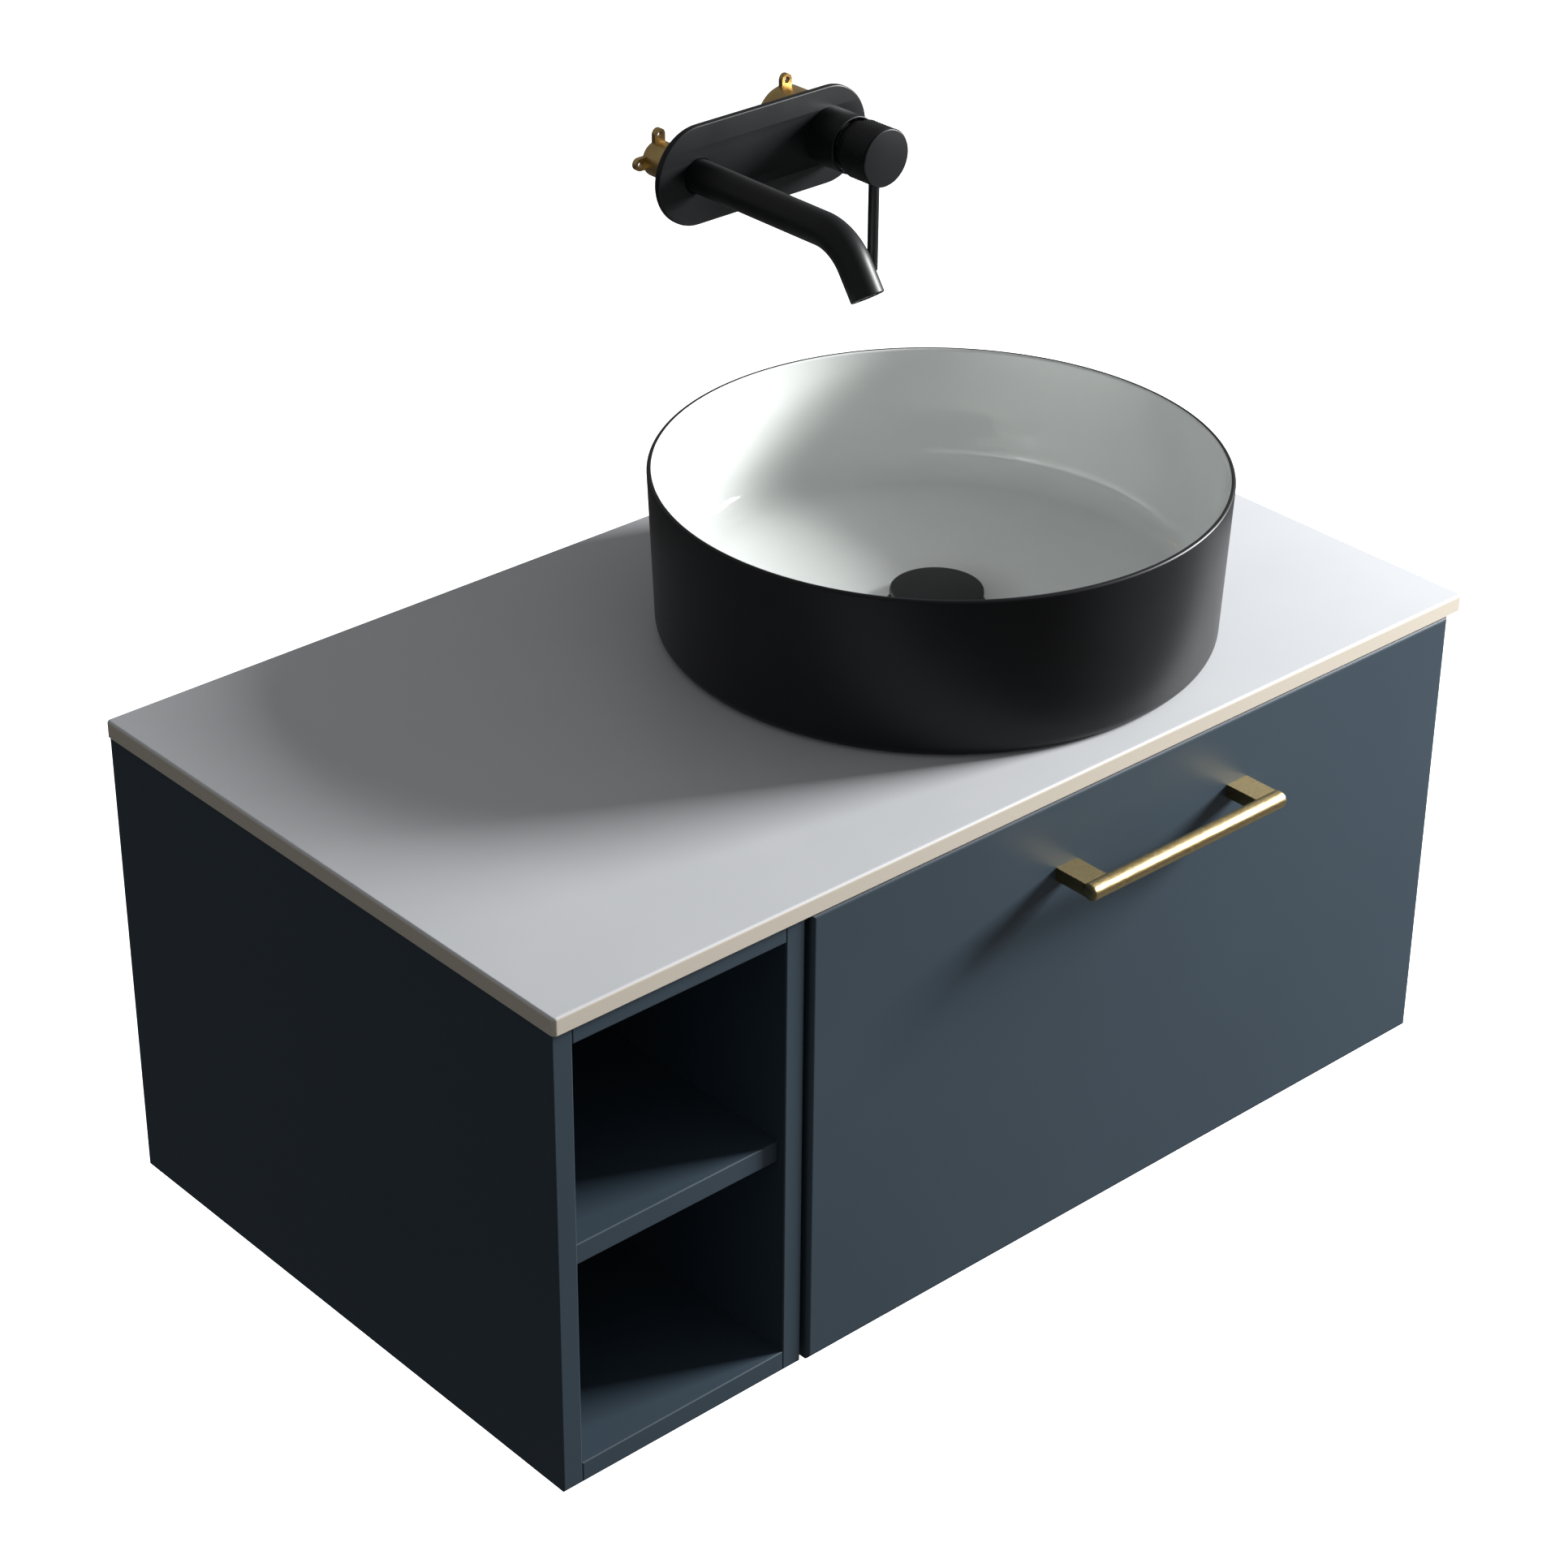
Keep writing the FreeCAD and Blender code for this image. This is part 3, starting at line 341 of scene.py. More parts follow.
# %% [markdown]
# ## Rubber and plastics
# Seals are soft black rubber with a powdery bloom. The trap is moulded white plastic with a
# faint orange peel, and the cartridge is a greyer engineering plastic.


# %% Rubber and plastic finishes
def rubber(tree, here):
    # bloom on the surface makes the black look dusty rather than wet
    bloom = add(tree, "ShaderNodeTexNoise",
                {"Vector": here, "Scale": 1 / (3 * MM), "Detail": 3.0})
    tint = add(tree, "ShaderNodeMix", {0: bloom, 6: colour("1B1B1B"), 7: colour("2A2A29")},
               out=2, data_type="RGBA")
    relief = add(tree, "ShaderNodeBump", {"Height": bloom, "Distance": 0.02 * MM})
    return {"Base Color": tint, "Roughness": 0.78, "Normal": relief}


def moulded_white(tree, here):
    # light sinks in slightly and blurs the edges of shadows
    peel = add(tree, "ShaderNodeTexNoise", {"Vector": here, "Scale": 1 / (2.2 * MM)})
    tone = add(tree, "ShaderNodeTexNoise", {"Vector": here, "Scale": 1 / (40 * MM)})
    tint = add(tree, "ShaderNodeMix", {0: tone, 6: colour("DEDFDC"), 7: colour("E8E9E6")},
               out=2, data_type="RGBA")
    relief = add(tree, "ShaderNodeBump", {"Height": peel, "Distance": 0.02 * MM})
    return {"Base Color": tint, "Roughness": 0.32, "Subsurface Weight": 0.05,
            "Subsurface Scale": 2 * MM, "Normal": relief}


def grey_plastic(tree, here):
    # glass-filled plastic: fine speckle, half matte
    speck = add(tree, "ShaderNodeTexNoise", {"Vector": here, "Scale": 1 / (1.2 * MM)})
    tint = add(tree, "ShaderNodeMix", {0: speck, 6: colour("8C9093"), 7: colour("9EA2A5")},
               out=2, data_type="RGBA")
    relief = add(tree, "ShaderNodeBump", {"Height": speck, "Distance": 0.01 * MM})
    return {"Base Color": tint, "Roughness": 0.44, "Normal": relief}


seal_rubber = material("Black seal rubber", rubber)
trap_white = material("Moulded white plastic", moulded_white)
cartridge_grey = material("Grey glass-filled plastic", grey_plastic)

finishes = {
    "cabinet_finish": slate_lacquer, "drawer_board": grey_laminate, "dowel_wood": beech_wood,
    "worktop_stone": worktop_stone, "basin_glaze": satin_black, "black_metal": matte_black,
    "handle_brass": handle_brass, "casting_brass": rough_brass, "zinc_steel": zinc_steel,
    "rubber_seal": seal_rubber, "trap_plastic": trap_white, "cartridge_plastic": cartridge_grey,
}
slot_of, body_of_node = {}, {}
for name, shown in frame["nodes"].items():
    slot_of[name] = shown.data.materials[0].name.split(".")[0]
    body_of_node[name] = shown["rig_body"]
    shown.data.materials[0] = finishes[slot_of[name]]
print("slots dressed:", sorted(set(slot_of.values())))

# %% [markdown]
# ## Building meshes
# Four helpers cover every rebuilt shape. `soften` rounds the corners of an outline, `turn`
# spins an outline round an axis as a lathe would, `skin` joins a row of rings into a bent
# tube, and `prism` pushes a flat outline through space. `piece` then closes the mesh, faces
# it outward, shades it and hands it to the CAD body it belongs to.


# %% Mesh helpers
def soften(outline, steps=5):
    """Round the corners of a closed outline of (x, y, radius) points."""
    rounded = []
    for i, (x, y, radius) in enumerate(outline):
        corner = Vector((x, y))
        if radius == 0:
            rounded.append((x, y))
            continue
        before = (Vector(outline[i - 1][:2]) - corner).normalized()
        after = (Vector(outline[(i + 1) % len(outline)][:2]) - corner).normalized()
        half = before.angle(after) / 2
        middle = corner + (before + after).normalized() * radius / math.sin(half)
        reach = radius / math.tan(half)
        start, end = corner + before * reach - middle, corner + after * reach - middle
        first = math.atan2(start.y, start.x)
        sweep = math.atan2(end.y, end.x) - first
        sweep = (sweep + math.pi) % (2 * math.pi) - math.pi
        for k in range(steps + 1):
            angle = first + sweep * k / steps
            rounded.append((middle.x + radius * math.cos(angle),
                            middle.y + radius * math.sin(angle)))
    return rounded


def sideways(axis):
    """Two directions square to an axis and to each other."""
    side = X if abs(axis.x) < 0.9 else -Y
    side = (side - axis * side.dot(axis)).normalized()
    return side, axis.cross(side)


def turn(shape, outline, base, axis=Z, steps=96, finish=0):
    """Spin a closed (radius, distance) outline round the axis that runs through base."""
    side, other = sideways(axis)
    rings = []
    for i in range(steps):
        angle = 2 * math.pi * i / steps
        out = side * math.cos(angle) + other * math.sin(angle)
        rings.append([shape.verts.new(base + out * r + axis * d) for r, d in outline])
    count = len(outline)
    for near, far in zip(rings, rings[1:] + rings[:1]):
        for k in range(count):
            after = (k + 1) % count
            if outline[k][0] == 0 and outline[after][0] == 0:
                continue
            face = shape.faces.new((near[k], near[after], far[after], far[k]))
            face.material_index = finish(k) if callable(finish) else finish


def skin(shape, stations, side, steps=64):
    """Join rings into a closed tube; a station is (centre, direction, radius)."""
    rings = []
    for middle, direction, radius in stations:
        other = direction.cross(side).normalized()
        ring = []
        for i in range(steps):
            angle = 2 * math.pi * i / steps
            out = side * math.cos(angle) + other * math.sin(angle)
            ring.append(shape.verts.new(middle + out * radius))
        rings.append(ring)
    for near, far in zip(rings, rings[1:] + rings[:1]):
        for i in range(steps):
            after = (i + 1) % steps
            shape.faces.new((near[i], near[after], far[after], far[i]))


def prism(shape, outline, origin, right, up, depth):
    """Push a flat (x, y) outline along the depth vector."""
    low = [shape.verts.new(origin + right * x + up * y) for x, y in outline]
    high = [shape.verts.new(corner.co + depth) for corner in low]
    shape.faces.new(low)
    shape.faces.new(list(reversed(high)))
    for i in range(len(low)):
        after = (i + 1) % len(low)
        shape.faces.new((low[i], low[after], high[after], high[i]))


def piece(name, shape, *used, sharp=32):
    """Close, orient and shade a mesh, and put it in the scene."""
    bmesh.ops.remove_doubles(shape, verts=shape.verts, dist=1e-7)
    bmesh.ops.recalc_face_normals(shape, faces=shape.faces)
    mesh = bpy.data.meshes.new(name)
    shape.to_mesh(mesh)
    shape.free()
    for finish in used:
        mesh.materials.append(finish)
    mesh.shade_smooth()
    mesh.set_sharp_from_angle(angle=math.radians(sharp))
    made = bpy.data.objects.new(name, mesh)
    bpy.context.scene.collection.objects.link(made)
    return made


def stands_for(made, name):
    """The new piece takes the place of the CAD node and moves with its body."""
    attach(made, body_of_node[name])
    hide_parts(name)
    print("%-18s %6d faces" % (name, len(made.data.polygons)))
    return made


# %% [markdown]
# ## Repeating relief with Geometry Nodes
# Knurling, screw threads and grip ribs are all one idea: grooves that wind round an axis.
# Cutting thousands of grooves by hand would be slow, so a node tree moves each point of a
# dense mesh inward by how close it lies to a groove. With a short pitch the grooves are a
# thread, with many starts they are a knurl, and with an endless pitch they run straight.


# %% Winding grooves
def groove_tree():
    tree = bpy.data.node_groups.new("Winding grooves", "GeometryNodeTree")
    tree.interface.new_socket("Geometry", in_out="OUTPUT", socket_type="NodeSocketGeometry")
    for label, kind in (("Geometry", "Geometry"), ("Base", "Vector"), ("Axis", "Vector"),
                        ("Side", "Vector"), ("Pitch", "Float"), ("Starts", "Float"),
                        ("Depth", "Float"), ("From", "Float"), ("To", "Float"),
                        ("Fade", "Float"), ("Least radius", "Float"), ("Finish", "Material")):
        tree.interface.new_socket(label, in_out="INPUT", socket_type="NodeSocket" + kind)
    given = tree.nodes.new("NodeGroupInput").outputs
    here = add(tree, "GeometryNodeInputPosition")
    arm = add(tree, "ShaderNodeVectorMath", {0: here, 1: given["Base"]}, operation="SUBTRACT")
    along = add(tree, "ShaderNodeVectorMath", {0: arm, 1: given["Axis"]}, out="Value",
                operation="DOT_PRODUCT")
    lift = add(tree, "ShaderNodeVectorMath", {0: given["Axis"], "Scale": along},
               operation="SCALE")
    spoke = add(tree, "ShaderNodeVectorMath", {0: arm, 1: lift}, operation="SUBTRACT")
    radius = add(tree, "ShaderNodeVectorMath", {0: spoke}, out="Value", operation="LENGTH")
    outward = add(tree, "ShaderNodeVectorMath", {0: spoke}, operation="NORMALIZE")
    other = add(tree, "ShaderNodeVectorMath", {0: given["Axis"], 1: given["Side"]},
                operation="CROSS_PRODUCT")
    across = add(tree, "ShaderNodeVectorMath", {0: spoke, 1: given["Side"]}, out="Value",
                 operation="DOT_PRODUCT")
    up = add(tree, "ShaderNodeVectorMath", {0: spoke, 1: other}, out="Value",
             operation="DOT_PRODUCT")
    angle = add(tree, "ShaderNodeMath", {0: up, 1: across}, operation="ARCTAN2")
    turns = add(tree, "ShaderNodeMath", {0: angle, 1: 2 * math.pi}, operation="DIVIDE")
    round_it = add(tree, "ShaderNodeMath", {0: turns, 1: given["Starts"]}, operation="MULTIPLY")
    along_it = add(tree, "ShaderNodeMath", {0: along, 1: given["Pitch"]}, operation="DIVIDE")
    phase = add(tree, "ShaderNodeMath", {0: round_it, 1: along_it}, operation="ADD")
    groove = add(tree, "ShaderNodeMath", {0: phase, 1: 0.5}, operation="PINGPONG")
    begin = add(tree, "ShaderNodeMath", {0: given["From"], 1: given["Fade"]}, operation="ADD")
    stop = add(tree, "ShaderNodeMath", {0: given["To"], 1: given["Fade"]},
               operation="SUBTRACT")
    enter = add(tree, "ShaderNodeMapRange", {
        "Value": along, "From Min": given["From"], "From Max": begin})
    leave = add(tree, "ShaderNodeMapRange", {
        "Value": along, "From Min": given["To"], "From Max": stop})
    inside = add(tree, "ShaderNodeMath", {0: enter, 1: leave}, operation="MULTIPLY")
    skin_only = add(tree, "ShaderNodeMath", {0: radius, 1: given["Least radius"]},
                    operation="GREATER_THAN")
    masked = add(tree, "ShaderNodeMath", {0: inside, 1: skin_only}, operation="MULTIPLY")
    share = add(tree, "ShaderNodeMath", {0: groove, 1: masked}, operation="MULTIPLY")
    deep = add(tree, "ShaderNodeMath", {0: share, 1: given["Depth"]}, operation="MULTIPLY")
    inward = add(tree, "ShaderNodeMath", {0: deep, 1: -2.0}, operation="MULTIPLY")
    shift = add(tree, "ShaderNodeVectorMath", {0: outward, "Scale": inward},
                operation="SCALE")
    moved = add(tree, "GeometryNodeSetPosition",
                {"Geometry": given["Geometry"], "Offset": shift})
    whole = add(tree, "GeometryNodeRealizeInstances", {"Geometry": moved})
    dressed = add(tree, "GeometryNodeSetMaterial",
                  {"Geometry": whole, "Material": given["Finish"]})
    add(tree, "NodeGroupOutput", {"Geometry": dressed})
    return tree


grooves = groove_tree()
print("groove tree:", len(grooves.nodes), "nodes")


def grow(made, tree, sharp=32, **values):
    """Run a geometry tree on an object and keep the result as its plain mesh."""
    grown = made.modifiers.new(tree.name, "NODES")
    grown.node_group = tree
    for socket in tree.interface.items_tree:
        label = socket.name.lower().replace(" ", "_")
        if socket.in_out == "INPUT" and label in values:
            grown[socket.identifier] = values[label]
    made.update_tag()
    seen = made.evaluated_get(bpy.context.evaluated_depsgraph_get())
    mesh = bpy.data.meshes.new_from_object(seen)
    made.modifiers.clear()
    made.data = mesh
    mesh.shade_smooth()
    mesh.set_sharp_from_angle(angle=math.radians(sharp))
    return made


def groove(made, base, axis, pitch, starts, depth, reach, fade, least, finish, sharp=32):
    side = sideways(axis)[0]
    return grow(made, grooves, sharp, base=base, axis=axis, side=side, pitch=pitch,
                starts=float(starts), depth=depth, to=reach[1], fade=fade, finish=finish,
                least_radius=least, **{"from": reach[0]})


def ladder(start, end, step):
    """Evenly spaced stops from start to end, about one step apart."""
    count = max(1, round(abs(end - start) / step))
    return [start + (end - start) * i / count for i in range(count + 1)]


# %% [markdown]
# ## The bowl
# A single outline makes the whole bowl when it is spun: foot, outside wall, rim, inside wall,
# the wide curve into the floor, and the drain seat. The outline's own points say which glaze
# each band takes: the black runs over the rim and stops just inside it.

# %% Basin
rim_radius = size("basin").x / 2
rim_height = size("basin").z
foot_radius = rim_radius - 5 * MM
inner_low = foot_radius - 6.5 * MM
drain_seat = size("waste_top_seal").x / 2 + 0.5 * MM
drain_hole = 22.5 * MM
seat_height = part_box("waste_top_seal")[0].z - worktop_top
foot_round, rim_round = 9 * MM, 1.9 * MM
rim_width = 4 * MM
floor_edge, floor_curve = 24 * MM, 22 * MM
floor_middle = 13 * MM
foot_ring, foot_recess = 20 * MM, 3 * MM
basin_base = Vector((centre("basin").x, centre("basin").y, worktop_top))
outside_wall = [(foot_radius, 0, foot_round), (rim_radius, rim_height, rim_round),
                (rim_radius - rim_width, rim_height, rim_round)]
inside_wall = [(inner_low, floor_edge, floor_curve), (drain_seat, floor_middle, 0.8 * MM)]
underneath = [(drain_seat, seat_height, 0), (drain_hole, seat_height, 0),
              (drain_hole, foot_recess, 0), (foot_radius - foot_ring, foot_recess, 0),
              (foot_radius - foot_ring, 0, 0)]
arc_steps = 14
bowl_outline = soften(outside_wall + inside_wall + underneath, arc_steps)
black_ends = 2 * (arc_steps + 1) + 4      # foot and outer rim arcs, and a little of the next
white_ends = 5 * (arc_steps + 1)          # every arc down to the drain seat


def bowl_band(k):
    """0 is the black glaze, 1 the white and 2 the bare clay."""
    if k < black_ends:
        return 0
    return 1 if k < white_ends else 2


bowl = bmesh.new()
turn(bowl, bowl_outline, basin_base, steps=256, finish=bowl_band)
basin = piece("round_basin", bowl, satin_black, glossy_white, bare_clay)
stands_for(basin, "basin")

# %% [markdown]
# ## Waste and plug
# The plug is a thin mushroom that clicks up and down on a spindle. The waste below it is a
# flanged tube with a long thread that the locknut runs on.

# %% Plug, waste and seals
plug_base = Vector((centre("plug_cap").x, centre("plug_cap").y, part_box("plug_cap")[0].z))
plug_radius = size("plug_cap").x / 2
plug_height = size("plug_cap").z
plug_stem = 16 * MM
plug_rim = 2.7 * MM          # thin enough to stop a hair above the flange when it is pressed
cap = bmesh.new()
turn(cap, soften([(0, 0, 0), (plug_stem, 0, 0.6 * MM), (plug_stem, plug_height - plug_rim, 0),
                  (plug_radius, plug_height - plug_rim, 0.3 * MM),
                  (plug_radius, plug_height, 1.6 * MM), (0, plug_height, 0)]),
     plug_base, steps=128)
stands_for(piece("pop_up_plug", cap, matte_black), "plug_cap")

spindle_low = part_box("plug_spindle")[0].z
spindle_length = size("plug_spindle").z
spindle_radius = size("plug_spindle").x / 2
pin = bmesh.new()
turn(pin, soften([(0, 0, 0), (spindle_radius, 0, 0.8 * MM),
                  (spindle_radius, spindle_length, 0), (0, spindle_length, 0)]),
     Vector((plug_base.x, plug_base.y, spindle_low)), steps=40)
stands_for(piece("plug_pin", pin, zinc_steel), "plug_spindle")

flange_top = top("waste_body")
flange_radius = size("waste_body").x / 2
thread_radius = 20.9 * MM
tube_bore = thread_radius - 2.9 * MM
tube_length = size("waste_body").z
flange_thickness = 3 * MM
funnel_width, funnel_depth = 6 * MM, 8 * MM
tube = bmesh.new()
thread_rungs = [(thread_radius, z) for z in ladder(-12 * MM, 1.5 * MM - tube_length, 0.5 * MM)]
turn(tube, soften([(tube_bore + funnel_width, 0, 1 * MM), (flange_radius, 0, 1.2 * MM),
                   (flange_radius, -flange_thickness, 0.3 * MM),
                   (thread_radius, -flange_thickness, 0)])
     + thread_rungs
     + soften([(thread_radius, -tube_length, 0.6 * MM), (tube_bore, -tube_length, 0),
               (tube_bore, -funnel_depth, 0)], 3),
     flange_top, steps=96)
guide_top = flange_top - Z * 19 * MM
guide_height, guide_hole, guide_edge = 6 * MM, 4.1 * MM, 7 * MM
leg_start, leg_end, leg_half = 3 * MM, tube_bore + 0.5 * MM, 1.5 * MM
for turned in (0, 120, 240):
    spin = Matrix.Rotation(math.radians(turned), 3, "Z")
    prism(tube, [(leg_start, -leg_half), (leg_end, -leg_half), (leg_end, leg_half),
                 (leg_start, leg_half)], guide_top, spin @ X, spin @ Y, -Z * guide_height)
turn(tube, [(guide_hole, 0), (guide_edge, 0), (guide_edge, -guide_height),
            (guide_hole, -guide_height)], guide_top, steps=40)
waste = piece("basin_waste", tube, matte_black)
groove(waste, flange_top, -Z, pitch=2 * MM, starts=1, depth=0.5 * MM,
       reach=(13 * MM, tube_length - 1 * MM), fade=1 * MM, least=thread_radius - 0.2 * MM,
       finish=matte_black)
stands_for(waste, "waste_body")

for seal in ("waste_top_seal", "waste_bottom_seal"):
    height = size(seal).z
    washer = bmesh.new()
    turn(washer, soften([(thread_radius, 0, 0.3 * MM), (size(seal).x / 2, 0, 0.5 * MM),
                         (size(seal).x / 2, height, 0.5 * MM),
                         (thread_radius, height, 0.3 * MM)]),
         Vector((plug_base.x, plug_base.y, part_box(seal)[0].z)), steps=72)
    stands_for(piece(seal.replace("waste", "rubber"), washer, seal_rubber), seal)

nut_low, nut_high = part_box("waste_locknut")
nut_corner = (nut_high.x - nut_low.x) / 2
nut_flat = nut_corner * math.cos(math.pi / 6)
nut_height = nut_high.z - nut_low.z
chamfer = 1.2 * MM
nut = bmesh.new()
turn(nut, [(thread_radius, 0), (nut_flat - 1 * MM, 0), (nut_corner, chamfer),
           (nut_corner, nut_height - chamfer), (nut_flat - 1 * MM, nut_height),
           (thread_radius, nut_height)],
     Vector((plug_base.x, plug_base.y, nut_low.z)), steps=120)
for corner in nut.verts:
    # press the round blank flat on six sides, which leaves the rounded corners of a real nut
    spoke = Vector((corner.co.x - plug_base.x, corner.co.y - plug_base.y))
    if spoke.length > thread_radius + 1 * MM:
        facing = (math.atan2(spoke.y, spoke.x) % (math.pi / 3)) - math.pi / 6
        limit = nut_flat / math.cos(facing)
        if spoke.length > limit:
            spoke = spoke * (limit / spoke.length)
            corner.co = Vector((plug_base.x + spoke.x, plug_base.y + spoke.y, corner.co.z))
stands_for(piece("waste_nut", nut, rough_brass, sharp=25), "waste_locknut")

# %% [markdown]
# ## The bottle trap
# The trap is a handful of turned mouldings. The two nuts and the cup carry straight grip
# ribs, so wet fingers can undo them. Water stands in the cup and keeps smells out.


# %% Trap pieces
def ribbed(name, node_name, outline, base, axis, ribs, reach, least):
    """A turned moulding with straight ribs round part of its outside."""
    no_winding = 1000.0
    blank = bmesh.new()
    turn(blank, outline, base, axis, steps=ribs * 6)
    made = piece(name, blank, trap_white)
    groove(made, base, axis, pitch=no_winding, starts=ribs, depth=0.8 * MM, reach=reach,
           fade=1.5 * MM, least=least, finish=trap_white, sharp=50)
    return stands_for(made, node_name)


pipe_radius = 16 * MM
union_top = top("trap_union_nut")
union_radius = size("trap_union_nut").x / 2
union_height = size("trap_union_nut").z
grip_height = union_height / 3
union_wall = ([(union_radius - 1 * MM, 0)]
              + [(union_radius, -z) for z in ladder(1 * MM, union_height - 1 * MM, 1 * MM)]
              + [(union_radius - 1 * MM, -union_height)])
ribbed("union_nut", "trap_union_nut",
       union_wall + [(pipe_radius, -union_height), (pipe_radius, grip_height - union_height),
                     (thread_radius, grip_height - union_height), (thread_radius, 0)],
       union_top, Z, 36, (1 * MM - union_height, -1 * MM), union_radius - 0.5 * MM)

inlet_top = top("trap_inlet_tube")
inlet_length = size("trap_inlet_tube").z
pipe_wall, pipe_lip = 1.2 * MM, 0.3 * MM
inlet = bmesh.new()
turn(inlet, soften([(pipe_radius - pipe_wall, 0, pipe_lip), (pipe_radius, 0, pipe_lip),
                    (pipe_radius, -inlet_length, pipe_lip),
                    (pipe_radius - pipe_wall, -inlet_length, pipe_lip)]), inlet_top, steps=72)
stands_for(piece("inlet_tube", inlet, trap_white), "trap_inlet_tube")

cup_top = top("trap_cup")
cup_radius = size("trap_cup").x / 2
cup_height = size("trap_cup").z
collar = 12 * MM
cup_floor, cup_side = 2.5 * MM, 5 * MM
cup_wall = [(cup_radius, -z) for z in ladder(collar + 0.5 * MM, cup_height - 6 * MM, 1.5 * MM)]
ribbed("cup", "trap_cup",
       [(cup_radius - 2.5 * MM, 0), (cup_radius - 2.5 * MM, -collar),
        (cup_radius - 0.5 * MM, -collar)] + cup_wall
       + soften([(cup_radius, -cup_height, 5 * MM), (0, -cup_height, 0),
                 (0, cup_floor - cup_height, 0),
                 (cup_radius - cup_side, cup_floor - cup_height, 2 * MM),
                 (cup_radius - cup_side, 0, 0)]),
       cup_top, Z, 40, (10 * MM - cup_height, -collar - 2 * MM), cup_radius - 0.8 * MM)

outlet_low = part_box("trap_outlet_nut")[0].y
outlet_radius = size("trap_outlet_nut").x / 2
outlet_length = size("trap_outlet_nut").y
spigot_radius = pipe_radius + 2.5 * MM
outlet_base = Vector((centre("trap_outlet_nut").x, outlet_low, centre("trap_outlet_nut").z))
outlet_wall = ([(outlet_radius - 1 * MM, 0)]
               + [(outlet_radius, y) for y in ladder(1 * MM, outlet_length - 1 * MM, 1 * MM)]
               + [(outlet_radius - 1 * MM, outlet_length)])
ribbed("outlet_nut", "trap_outlet_nut",
       outlet_wall + [(pipe_radius, outlet_length), (pipe_radius, outlet_length / 2),
                      (spigot_radius, outlet_length / 2), (spigot_radius, 0)],
       outlet_base, Y, 32, (1 * MM, outlet_length - 1 * MM), outlet_radius - 0.5 * MM)

flange_back = wall_end("trap_wall_flange")
cover_radius = size("trap_wall_flange").x / 2
cover_depth = 8 * MM
cover = bmesh.new()
turn(cover, soften([(pipe_radius, 0, 0), (pipe_radius, -cover_depth, 0.4 * MM),
                    (pipe_radius + 8 * MM, -cover_depth, 3 * MM), (cover_radius, -0.4 * MM, 0),
                    (cover_radius, 0, 0)]), flange_back, Y, steps=96)
stands_for(piece("wall_flange", cover, trap_white), "trap_wall_flange")

# %% [markdown]
# ## The tap
# The spout is one tube bent once. It is built as rings that travel down the outside, turn in
# at the mouth and come back up the inside, so its wall has a real thickness. The knob gets a
# diamond knurl round its front part, where fingers grip it.

# %% Spout
spout_radius = size("tap_spout").x / 2
spout_wall = 1.6 * MM
bend_radius = 40 * MM
bend_angle = math.radians(55)
spout_tip = 22 * MM
spout_axis_z = centre("tap_cover_plate").z
wall_root = Vector((centre("tap_spout").x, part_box("tap_spout")[1].y, spout_axis_z))
bend_start = Vector((wall_root.x, -131 * MM, spout_axis_z))
bend_centre = bend_start - Z * bend_radius


def spout_path(radius):
    """Stations from the wall to the mouth."""
    path = [(wall_root + (bend_start - wall_root) * share, -Y, radius)
            for share in ladder(0, 1, 0.1)]
    for angle in ladder(0, bend_angle, bend_angle / 20)[1:]:
        spoke = Vector((0, -math.sin(angle), math.cos(angle)))
        ahead = Vector((0, -math.cos(angle), -math.sin(angle)))
        path.append((bend_centre + spoke * bend_radius, ahead, radius))
    last, ahead = path[-1][:2]
    path += [(last + ahead * share, ahead, radius)
             for share in ladder(0, spout_tip - 0.5 * MM, 4 * MM)[1:]]
    return path, last + ahead * spout_tip, ahead


outer_path, mouth, ahead = spout_path(spout_radius)
inner_path = spout_path(spout_radius - spout_wall)[0]
lip = [(mouth, ahead, spout_radius - 0.5 * MM),
       (mouth, ahead, spout_radius - spout_wall + 0.4 * MM)]
spout = bmesh.new()
skin(spout, outer_path + lip + list(reversed(inner_path)), X, steps=96)
stands_for(piece("bent_spout", spout, matte_black), "tap_spout")

# %% Cover plate
plate_low, plate_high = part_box("tap_cover_plate")
plate_radius = (plate_high.z - plate_low.z) / 2
plate_edge = 1.2 * MM
sleeve_hole = 19.2 * MM
left_x, right_x = plate_low.x + plate_radius, plate_high.x - plate_radius
drawn = bpy.data.curves.new("Plate outline", "CURVE")
drawn.dimensions, drawn.fill_mode = "2D", "BOTH"
drawn.extrude = size("tap_cover_plate").y / 2 - plate_edge
drawn.bevel_depth, drawn.offset, drawn.bevel_resolution = plate_edge, -plate_edge, 3
around = [(right_x + plate_radius * math.sin(a), plate_radius * math.cos(a))
          for a in ladder(0, math.pi, math.pi / 40)]
around += [(left_x - plate_radius * math.sin(a), -plate_radius * math.cos(a))
           for a in ladder(0, math.pi, math.pi / 40)]
holes = [[(x + r * math.cos(a), r * math.sin(a))
          for a in ladder(0, 2 * math.pi, math.pi / 36)[:-1]]
         for x, r in ((left_x, spout_radius + 0.1 * MM), (right_x, sleeve_hole))]
for loop in [around] + holes:
    spline = drawn.splines.new("POLY")
    spline.points.add(len(loop) - 1)
    for point, (x, z) in zip(spline.points, loop):
        point.co = (x, z, 0, 1)
    spline.use_cyclic_u = True
drawing = bpy.data.objects.new("Plate drawing", drawn)
bpy.context.scene.collection.objects.link(drawing)
flat = bpy.data.meshes.new_from_object(
    drawing.evaluated_get(bpy.context.evaluated_depsgraph_get()))
bpy.data.objects.remove(drawing)
plate = bmesh.new()
plate.from_mesh(flat)
stand_up = Matrix.Translation((0, centre("tap_cover_plate").y, spout_axis_z))
plate.transform(stand_up @ Matrix.Rotation(math.radians(90), 4, "X"))
